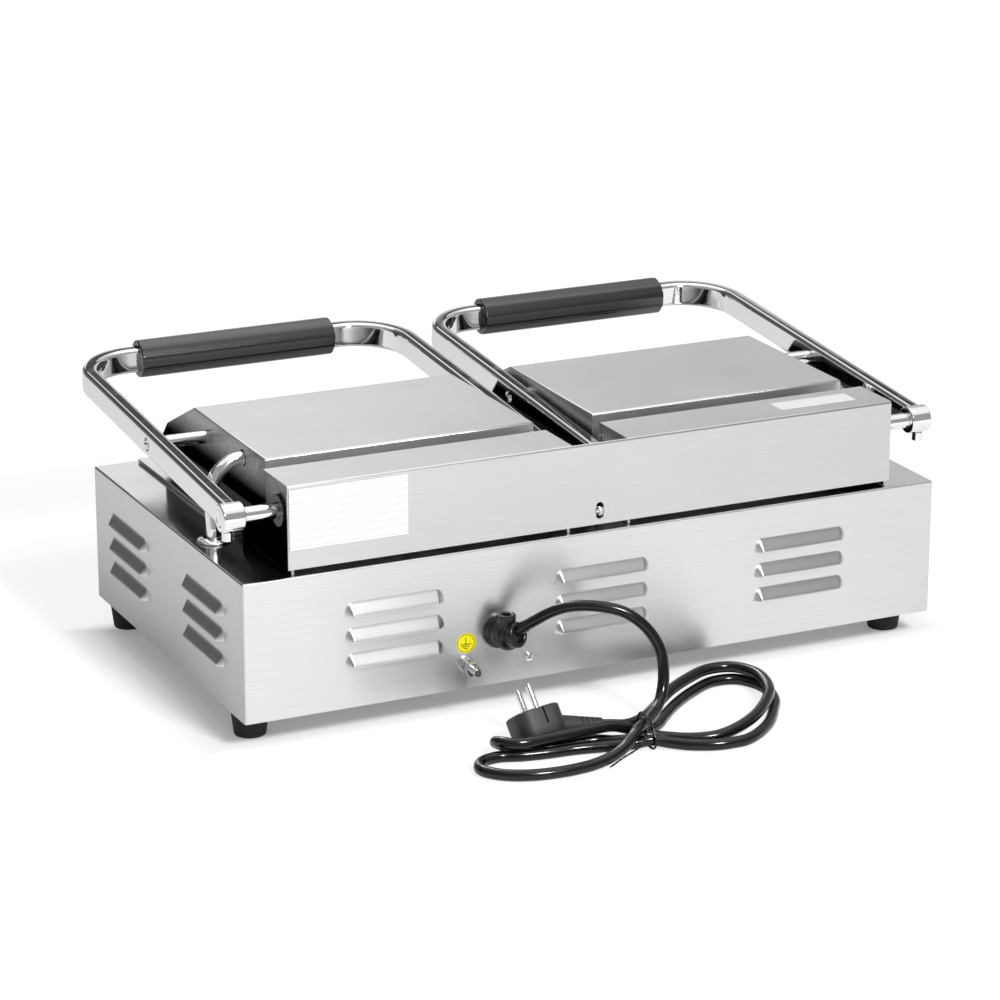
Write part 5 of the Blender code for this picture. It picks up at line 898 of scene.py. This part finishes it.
class GRILL_OT_cord_tie(bpy.types.Operator):
    """Binds the hank with a twisted coated wire"""

    bl_idname = "grill.cord_tie"
    bl_label = "Cord tie"

    def execute(self, context):
        wire = sizes().tie_wire
        pieces = [as_mesh(tube("tie_loop", self.loop(), wire, closed=True))]
        # The two ends are thinner and wind round each other, with 15 of the tail's points to a turn
        tail = spaced(smooth_route(TIE_TAIL), 90)
        turn, offset, thin = 0.42, wire * 0.55, wire * 0.62
        for phase in (0, math.pi):
            twisted = []
            for i, point in enumerate(tail):
                angle = i * turn + phase
                out = Vector((math.cos(angle), math.sin(angle) * 0.6, math.sin(angle) * 0.8))
                twisted.append(point + out * offset)
            pieces.append(as_mesh(tube("tie_end", twisted, thin)))
        tie = joined(pieces, "cord_tie_wire")
        attach(tie, "cable_rubber", "base")
        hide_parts("cord_tie")
        return {"FINISHED"}

    def loop(self):
        """The wire's line round the four strands that lie in the tie: arcs about them, one after another."""
        x, y, z = TIE_POINT
        wire = sizes().tie_wire
        cord = sizes().cord_radius
        # The wire lies 1.1 mm clear of the strands' skins
        radius = cord + 0.0011 + wire
        low = radius + wire
        # The outer two of the lower strands pass the tie at these Y places
        inner_y, outer_y = 0.2670, 0.2877
        centres = [Vector(c) for c in ((inner_y, low), (outer_y, low), (y + cord, z), (y - cord, z))]
        ring = []
        for i, centre in enumerate(centres):
            before, after = centre - centres[i - 1], centres[(i + 1) % 4] - centre
            first = math.atan2(before.y, before.x) - math.pi / 2
            sweep = (math.atan2(after.y, after.x) - math.pi / 2 - first) % math.tau
            for step in range(9):
                angle = first + sweep * step / 8
                ring.append((x, centre.x + radius * math.cos(angle), centre.y + radius * math.sin(angle)))
        return ring


class GRILL_OT_mains_plug(bpy.types.Operator):
    """Moulds the angled mains plug and its two pins"""

    bl_idname = "grill.mains_plug"
    bl_label = "Mains plug"

    def execute(self, context):
        plug = softened("plug_body", 0.0005, "plug_rubber")
        plug.name = "mains_plug"
        for name in ("near", "far"):
            softened(f"plug_pin_{name}")
        return {"FINISHED"}


class GRILL_OT_housing(bpy.types.Operator):
    """Folds the base housing and presses its louvres"""

    bl_idname = "grill.housing"
    bl_label = "Housing with louvres"

    def execute(self, context):
        shell = closed_copy("base_housing")
        # The CAD's plain hoods, which stand out from the walls, make way for pressed ones
        beyond = 0.0002
        with editing(shell):
            select_where(shell, lambda v: abs(v.co.x) > HALF_WIDTH + beyond or v.co.y > REAR_Y + beyond)
            bpy.ops.mesh.delete(type="VERT")
        hood = self.hood()
        hoods = [copied(hood, place) for place in self.places()]
        bpy.data.objects.remove(hood)
        housing = joined([shell, *hoods], "housing_skin")
        settle(housing)
        attach(housing, "brushed_steel", "base")
        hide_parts("base_housing")
        return {"FINISHED"}

    def hood(self):
        """One hood along X, standing out along +Y, with its lip at height zero: half of a stretched dome."""
        s = sizes()
        bpy.ops.object.select_all(action="DESELECT")
        upright = (math.pi / 2, 0, 0)
        bpy.ops.mesh.primitive_circle_add(vertices=64, radius=1, fill_type="NOTHING", rotation=upright)
        hood = bpy.context.object
        bpy.ops.object.transform_apply(location=True, rotation=True, scale=True)
        run = s.louvre_length / 2 - s.louvre_end
        rings = 14
        # The slope grows over the first third and ends in a rounded lip over the last fifth
        fillet, lip = rings / 3, rings / 5
        steep = [min(1.0, (step + 0.5) / fillet, (rings - step - 0.5) / lip) for step in range(rings)]
        rise = [s.louvre_out * sum(steep[:step]) / sum(steep) for step in range(rings + 1)]
        with editing(hood):
            bpy.ops.mesh.select_all(action="SELECT")
            # The rim starts just inside the wall
            bpy.ops.transform.translate(value=(0, -0.0002, 0))
            bpy.ops.transform.resize(value=(s.louvre_end, 1, s.louvre_height), center_override=(0, 0, 0))
            for step in range(1, rings + 1):
                share = (rings - step) / (rings - step + 1)
                bpy.ops.mesh.extrude_region()
                bpy.ops.transform.resize(value=(share, 1, share), center_override=(0, 0, 0))
                bpy.ops.transform.translate(value=(0, rise[step] - rise[step - 1], 0))
            bpy.ops.mesh.select_all(action="SELECT")
            bpy.ops.mesh.remove_doubles(threshold=MERGE)
            bpy.ops.mesh.bisect(plane_co=(0, 0, 0), plane_no=(0, 0, 1), clear_inner=True)
            for side in (1, -1):
                select_where(hood, lambda v, side=side: v.co.x * side > MERGE)
                bpy.ops.transform.translate(value=(run * side, 0, 0))
            bpy.ops.mesh.select_all(action="SELECT")
            bpy.ops.mesh.normals_make_consistent(inside=False)
        if sum(face.normal.y for face in hood.data.polygons) < 0:
            hood.data.flip_normals()
        with_modifier(hood, "SOLIDIFY", thickness=s.louvre_sheet, offset=-1)
        return hood

    def places(self):
        """The places of the 21 hoods: three rows, each with three on the rear and two on either side."""
        s = sizes()
        spots = []
        for row in range(3):
            z = BASE_BOTTOM + s.louvre_first + row * s.louvre_pitch
            for group in (-1, 0, 1):
                spots.append(Matrix.Translation((group * s.rear_spacing, REAR_Y, z)))
            for side in SIDES.values():
                for group in (-1, 1):
                    y = BASE_Y + group * s.side_spacing / 2
                    turn = Matrix.Rotation(-side * math.pi / 2, 4, "Z")
                    spots.append(Matrix.Translation((side * HALF_WIDTH, y, z)) @ turn)
        return spots


class GRILL_OT_sheet_parts(bpy.types.Operator):
    """Dresses the apron, covers, brackets, casing and drawer"""

    bl_idname = "grill.sheet_parts"
    bl_label = "Other sheet parts"

    def execute(self, context):
        for node in ("drip_apron", "bottom_cover", "bearing_bracket_right", "bearing_bracket_left"):
            softened(node, FINE_EDGE)
        softened("spring_casing", 0, "smoked_steel")
        softened("grease_drawer")
        return {"FINISHED"}


class GRILL_OT_lids(bpy.types.Operator):
    """Dresses the two folded lid covers"""

    bl_idname = "grill.lids"
    bl_label = "Lid covers"

    def execute(self, context):
        for side in SIDES:
            softened(f"lid_cover_{side}", 0, "smoked_steel")
        return {"FINISHED"}


class GRILL_OT_plates(bpy.types.Operator):
    """Dresses the ribbed cast plates"""

    bl_idname = "grill.plates"
    bl_label = "Grill plates"

    def execute(self, context):
        softened("lower_plate", FINE_EDGE)
        for side in SIDES:
            softened(f"upper_plate_{side}", FINE_EDGE)
        return {"FINISHED"}


class GRILL_OT_handles(bpy.types.Operator):
    """Bends the two chrome handle bars and adds their hubs"""

    bl_idname = "grill.handles"
    bl_label = "Handle bars"

    def execute(self, context):
        for name, side in SIDES.items():
            bar = self.bar(side)
            s = sizes()
            outer = self.hub(side * (HANDLE_X + s.handle_spread / 2), s.hub_length)
            inner = self.hub(side * (HANDLE_X - s.handle_spread / 2), s.inner_hub_length)
            handle = joined([bar, outer, inner], f"handle_{name}_bar")
            settle(handle)
            attach(handle, "chrome", f"handle_{name}")
            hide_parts(f"handle_bar_{name}")
        return {"FINISHED"}

    def bar(self, side):
        """One bar: its cross-section drawn along the U of the two arms, and drilled for the cross rod."""
        s = sizes()
        half = s.handle_spread / 2
        corners = [(half, 0, 0), (half, s.arm_length, 0), (-half, s.arm_length, 0), (-half, 0, 0)]
        path = tube("bar_path", rounded_path(corners, s.bar_corner, 20), 0)
        path.data.dimensions = "2D"
        path.data.fill_mode = "NONE"
        profile = tube("bar_profile", self.profile(), 0, closed=True)
        profile.data.dimensions = "2D"
        profile.data.fill_mode = "NONE"
        path.data.bevel_mode = "OBJECT"
        path.data.bevel_object = profile
        path.data.use_fill_caps = True
        bar = as_mesh(path)
        bpy.data.objects.remove(profile)
        rise = Matrix.Rotation(-ARM_RISE, 4, "X")
        forwards = Matrix.Scale(-1, 4, (0, 1, 0))
        bar.data.transform(Matrix.Translation((side * HANDLE_X, SHAFT_Y, SHAFT_Z)) @ rise @ forwards)
        with editing(bar):
            bpy.ops.mesh.select_all(action="SELECT")
            bpy.ops.mesh.remove_doubles(threshold=MERGE)
            bpy.ops.mesh.normals_make_consistent(inside=False)
        for end in (-half, half):
            bpy.ops.object.select_all(action="DESELECT")
            bpy.ops.mesh.primitive_cylinder_add(
                vertices=32, radius=s.rod_hole, depth=s.bar_width * 2, rotation=(0, math.pi / 2, 0),
                location=(side * HANDLE_X + end, ROD_Y, ROD_Z),
            )
            drill = bpy.context.object
            with_modifier(bar, "BOOLEAN", object=drill, operation="DIFFERENCE", solver="EXACT")
            bpy.data.objects.remove(drill)
        return bar

    def profile(self):
        """The bar's cross-section: a rectangle with rounded corners."""
        s = sizes()
        points = []
        for k, (sx, sy) in enumerate(((1, 1), (-1, 1), (-1, -1), (1, -1))):
            centre = (sx * (s.bar_width / 2 - s.bar_round), sy * (s.bar_height / 2 - s.bar_round))
            for step in range(7):
                angle = math.pi / 2 * (k + step / 6)
                points.append(
                    (centre[0] + s.bar_round * math.cos(angle), centre[1] + s.bar_round * math.sin(angle), 0)
                )
        return points

    def hub(self, x, long):
        """A hub on the shaft's line, with its edges broken and a small lip round the shaft."""
        radius = sizes().hub_radius
        edge = 0.0012
        half = (
            (radius, long / 2 - edge),
            (radius - edge * 0.3, long / 2 - edge * 0.3),
            (radius - edge, long / 2),
            (0.0066, long / 2),
            (0.0063, long / 2 - 0.0006),
        )
        profile = [(r, -along) for r, along in reversed(half)] + list(half)
        return turned("hub", profile, (1, 0, 0), (x, SHAFT_Y, SHAFT_Z))


class GRILL_OT_grips(bpy.types.Operator):
    """Dresses the fluted grips"""

    bl_idname = "grill.grips"
    bl_label = "Grips"

    def execute(self, context):
        # Wide enough to round the ridges between the flutes
        ridge = 0.0009
        for side in SIDES:
            softened(f"grip_{side}", ridge, "drawn_grip")
        return {"FINISHED"}


class GRILL_OT_shafts(bpy.types.Operator):
    """Dresses the shafts, cross rods, set screws, bushes and springs"""

    bl_idname = "grill.shafts"
    bl_label = "Shafts, rods and springs"

    def execute(self, context):
        for side in SIDES:
            for node in ("shaft", "cross_rod", "hub_set_screw", "shaft_bush"):
                softened(f"{node}_{side}", FINE_EDGE)
            softened(f"torsion_spring_{side}")
        return {"FINISHED"}


class GRILL_OT_conduits(bpy.types.Operator):
    """Bends the chrome cable tubes and their collars"""

    bl_idname = "grill.conduits"
    bl_label = "Cable tubes"

    def execute(self, context):
        for name, side in SIDES.items():
            self.tubes(name, side)
            softened(f"conduit_flange_{name}", 0.0004)
        return {"FINISHED"}

    def tubes(self, name, side):
        """One tube in two stretches, split at the ferrule: the lower rises from the base to the ferrule, the upper
        runs on over its bends towards the lid."""
        s = sizes()
        low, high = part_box(f"conduit_{name}")
        radius = s.conduit_radius
        x = side * s.conduit_place
        near_y, far_y = high.y - radius, low.y + radius
        top = high.z - radius
        end_x = low.x if side > 0 else high.x
        # The bend starts 8 mm above the base's top, and the tube's foot reaches as far below it
        stub = 0.008
        corners = ((x, near_y, BASE_TOP + stub), (x, far_y, top), (end_x, far_y, top))
        line = rounded_path(corners, s.conduit_bend, 24)
        split = line[1].lerp(line[0], 0.15)
        foot = Vector((x, near_y, BASE_TOP - stub))
        straight = [line[0].lerp(split, step / 12) for step in range(13)]
        lower = as_mesh(tube(f"conduit_{name}_lower", [foot, *straight], radius))
        upper = as_mesh(tube(f"conduit_{name}_upper", [split, *line[1:]], radius))
        upper = joined([upper, self.ferrule(split)], f"conduit_{name}_upper")
        for piece in (lower, upper):
            settle(piece)
            attach(piece, "chrome")
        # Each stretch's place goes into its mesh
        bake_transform(lower)
        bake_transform(upper)
        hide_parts(f"conduit_{name}")

    def ferrule(self, place):
        """A thin sleeve over the split of a tube."""
        radius = sizes().conduit_radius
        half = sizes().ferrule_length / 2
        ends, middle, edge = radius + 0.0002, radius + 0.0009, 0.0005
        profile = ((ends, -half), (middle, edge - half), (middle, half - edge), (ends, half))
        return turned("sleeve", profile, (0, 0, 1), place)


class GRILL_OT_feet(bpy.types.Operator):
    """Turns the four rubber feet"""

    bl_idname = "grill.feet"
    bl_label = "Feet"

    def execute(self, context):
        s = sizes()
        for node in ("foot_front_right", "foot_front_left", "foot_rear_right", "foot_rear_left"):
            low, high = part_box(node)
            middle = (low + high) / 2
            profile = (
                (s.foot_bottom - 0.0015, 0),
                (s.foot_bottom - 0.0004, 0.0004),
                (s.foot_bottom, 0.0015),
                (s.foot_top - 0.0001, high.z - low.z - 0.0008),
                (s.foot_top - 0.0008, high.z - low.z),
            )
            foot = turned(f"{node}_skin", profile, (0, 0, 1), (middle.x, middle.y, low.z))
            settle(foot)
            attach(foot, "foot_rubber", "base")
            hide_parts(node)
        return {"FINISHED"}


class GRILL_OT_gland(bpy.types.Operator):
    """Moulds the angled cable gland"""

    bl_idname = "grill.gland"
    bl_label = "Cable gland"

    def execute(self, context):
        # Profiles are (radius, along): from the rear wall for the body, and from their own axes for the rest
        flange = sizes().gland_flange
        place = GLAND_PLACE
        body = (
            (0.008, -0.014), (0.008, 0.0003), (flange - 0.0004, 0.0003), (flange, 0.0009),
            (flange, 0.0026), (flange - 0.0006, 0.0034), (0.0118, 0.0040), (0.0106, 0.0050),
            (0.0105, 0.0100), (0.0109, 0.0103), (0.0109, 0.0122), (0.0105, 0.0125), (0.0105, 0.0175),
            (0.0098, 0.0192), (0.0080, 0.0205), (0.0050, 0.0212), (0.0015, 0.0214),
        )
        out = gland_outlet()
        mouth_way = (out + Vector((0, 0.9, -0.1))).normalized()
        mouth = (
            (0.0080, 0), (0.0094, 0.0060), (0.0096, 0.0068), (0.0096, 0.0098), (0.0090, 0.0108),
            (0.0078, 0.0110), (0.0066, 0.0108), (0.0060, 0.0098), (0.0054, 0.0080),
        )
        boss = (
            (0.0062, 0), (0.0062, 0.0120), (0.0066, 0.0124), (0.0066, 0.0155), (0.0062, 0.0163),
            (0.0052, 0.0165), (0.0038, 0.0163), (0.0034, 0.0158), (0.0034, 0.0137), (0.0020, 0.0135),
        )
        sleeve = ((0.0046, 0), (0.0046, 0.0158), (0.0043, 0.0163))
        pieces = [
            turned("gland_body", body, (0, 1, 0), place),
            turned("gland_mouth", mouth, mouth_way, GLAND_ELBOW),
            turned("gland_sleeve", sleeve, out, GLAND_ELBOW),
            turned("gland_boss", boss, (0, 0, 1), place + Vector((0, 0.013, 0)), 40),
        ]
        gland = joined(pieces, "gland_skin")
        settle(gland)
        attach(gland, SLOTS["cable_gland"], "base")
        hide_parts("cable_gland")
        return {"FINISHED"}


class GRILL_OT_rear_fittings(bpy.types.Operator):
    """Dresses the earth stud and screws, and sticks on the blank labels and the earth sticker"""

    bl_idname = "grill.rear_fittings"
    bl_label = "Rear fittings and labels"

    def execute(self, context):
        for node in ("casing_screw", "panel_screw"):
            softened(node, 0.0002)
        softened("earth_stud", 0.0002, "zinc")
        softened("rating_plate", 0, "ruled_label")
        self.strip()
        self.sticker()
        return {"FINISHED"}

    def slip(self, name, low, high, corner, axis):
        """A thin slip between two corners of a box, with rounded corners seen along an axis."""
        size = high - low
        bpy.ops.object.select_all(action="DESELECT")
        bpy.ops.mesh.primitive_cube_add(size=1, location=(low + high) / 2, scale=size)
        slip = bpy.context.object
        slip.name = name
        bpy.ops.object.transform_apply(location=True, rotation=True, scale=True)
        with editing(slip):
            select_where(slip, lambda e: abs((e.verts[0].co - e.verts[1].co)[axis]) > size[axis] / 2, "EDGE")
            bpy.ops.mesh.bevel(offset=corner, segments=5)
        return slip

    def strip(self):
        """The blank strip on top of the casing."""
        low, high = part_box("spring_casing")
        corner = Vector((low.x + 0.022, low.y + 0.060, high.z + CLEAR))
        size = Vector((0.065, 0.018, 0.00013))
        strip = self.slip("casing_strip", corner, corner + size, 0.0012, 2)
        settle(strip)
        attach(strip, "blank_label", "base")

    def sticker(self):
        """The round sticker beside the earth stud, with a rim and the mark of one upright and three bars."""
        radius = sizes().sticker_radius
        sheet = sizes().sticker_sheet
        ink = sizes().ink
        place = Vector((0.1112, REAR_Y + CLEAR, 0.0572))
        disc = turned("earth_sticker", ((radius, 0), (radius, sheet)), (0, 1, 0), place, 64)
        settle(disc)
        attach(disc, "sticker", "base")
        top = place + Vector((0, sheet, 0))
        outer, inner = radius * 0.885, radius * 0.83
        profile = ((outer, 0), (outer, ink), (inner, ink), (inner, 0))
        rim = turned("rim", profile, (0, 1, 0), top, 64)
        with editing(rim):
            select_where(rim, lambda v: (v.co - top).xz.length < radius * 0.5)
            bpy.ops.mesh.delete(type="VERT")
        marks = [rim]
        # Height, half width and half thickness of each bar of the mark
        bars = (
            (0.0016, 0.0003, 0.0027),
            (-0.0010, 0.0044, 0.0003),
            (-0.0026, 0.0030, 0.0003),
            (-0.0042, 0.0016, 0.0003),
        )
        for i, (z, half_x, half_z) in enumerate(bars):
            low = top + Vector((-half_x, 0, z - half_z))
            high = top + Vector((half_x, ink, z + half_z))
            marks.append(self.slip(f"bar_{i}", low, high, 0.0001, 1))
        mark = joined(marks, "earth_mark")
        settle(mark)
        attach(mark, "mark", "base")


class GRILL_OT_controls(bpy.types.Operator):
    """Dresses the thermostat knobs, rocker switches and pilot lamps"""

    bl_idname = "grill.controls"
    bl_label = "Front controls"

    def execute(self, context):
        for side in SIDES:
            softened(f"thermostat_knob_{side}", 0.0005)
            softened(f"switch_body_{side}", FINE_EDGE)
            softened(f"switch_rocker_{side}", FINE_EDGE)
            softened(f"pilot_lamp_{side}")
        return {"FINISHED"}


class GRILL_OT_inner_parts(bpy.types.Operator):
    """Dresses the elements, thermostats and terminal block inside"""

    bl_idname = "grill.inner_parts"
    bl_label = "Inner parts"

    def execute(self, context):
        for side in SIDES:
            for node in ("lower_element", "upper_element"):
                softened(f"{node}_{side}")
            softened(f"thermostat_{side}", 0.0004)
        softened("terminal_block", FINE_EDGE)
        return {"FINISHED"}


STEPS = (
    GRILL_OT_stage,
    GRILL_OT_cord_tie,
    GRILL_OT_mains_plug,
    GRILL_OT_mains_cord,
    GRILL_OT_housing,
    GRILL_OT_sheet_parts,
    GRILL_OT_lids,
    GRILL_OT_plates,
    GRILL_OT_handles,
    GRILL_OT_grips,
    GRILL_OT_shafts,
    GRILL_OT_conduits,
    GRILL_OT_feet,
    GRILL_OT_gland,
    GRILL_OT_rear_fittings,
    GRILL_OT_controls,
    GRILL_OT_inner_parts,
)


class GRILL_PT_build(bpy.types.Panel):
    """Lists the steps that build the grill"""

    bl_idname = "GRILL_PT_build"
    bl_label = "Contact grill"
    bl_space_type = "VIEW_3D"
    bl_region_type = "UI"
    bl_category = "Grill"

    def draw(self, context):
        for step in STEPS:
            self.layout.operator(step.bl_idname)
        for group in (context.scene.grill_sizes, context.scene.grill_colours):
            for name in group.bl_rna.properties.keys():
                if name not in ("rna_type", "name"):
                    self.layout.prop(group, name)


CLASSES = (GrillSizes, GrillColours, *STEPS, GRILL_PT_build)


def register():
    for cls in CLASSES:
        bpy.utils.register_class(cls)
    bpy.types.Scene.grill_sizes = bpy.props.PointerProperty(type=GrillSizes)
    bpy.types.Scene.grill_colours = bpy.props.PointerProperty(type=GrillColours)


def unregister():
    del bpy.types.Scene.grill_colours
    del bpy.types.Scene.grill_sizes
    for cls in reversed(CLASSES):
        bpy.utils.unregister_class(cls)


def main():
    register()
    make_finishes()
    bpy.ops.grill.stage()
    bpy.ops.grill.cord_tie()
    bpy.ops.grill.mains_plug()
    bpy.ops.grill.mains_cord()
    bpy.ops.grill.housing()
    bpy.ops.grill.sheet_parts()
    bpy.ops.grill.lids()
    bpy.ops.grill.plates()
    bpy.ops.grill.handles()
    bpy.ops.grill.grips()
    bpy.ops.grill.shafts()
    bpy.ops.grill.conduits()
    bpy.ops.grill.feet()
    bpy.ops.grill.gland()
    bpy.ops.grill.rear_fittings()
    bpy.ops.grill.controls()
    bpy.ops.grill.inner_parts()


if __name__ == "__main__":
    main()
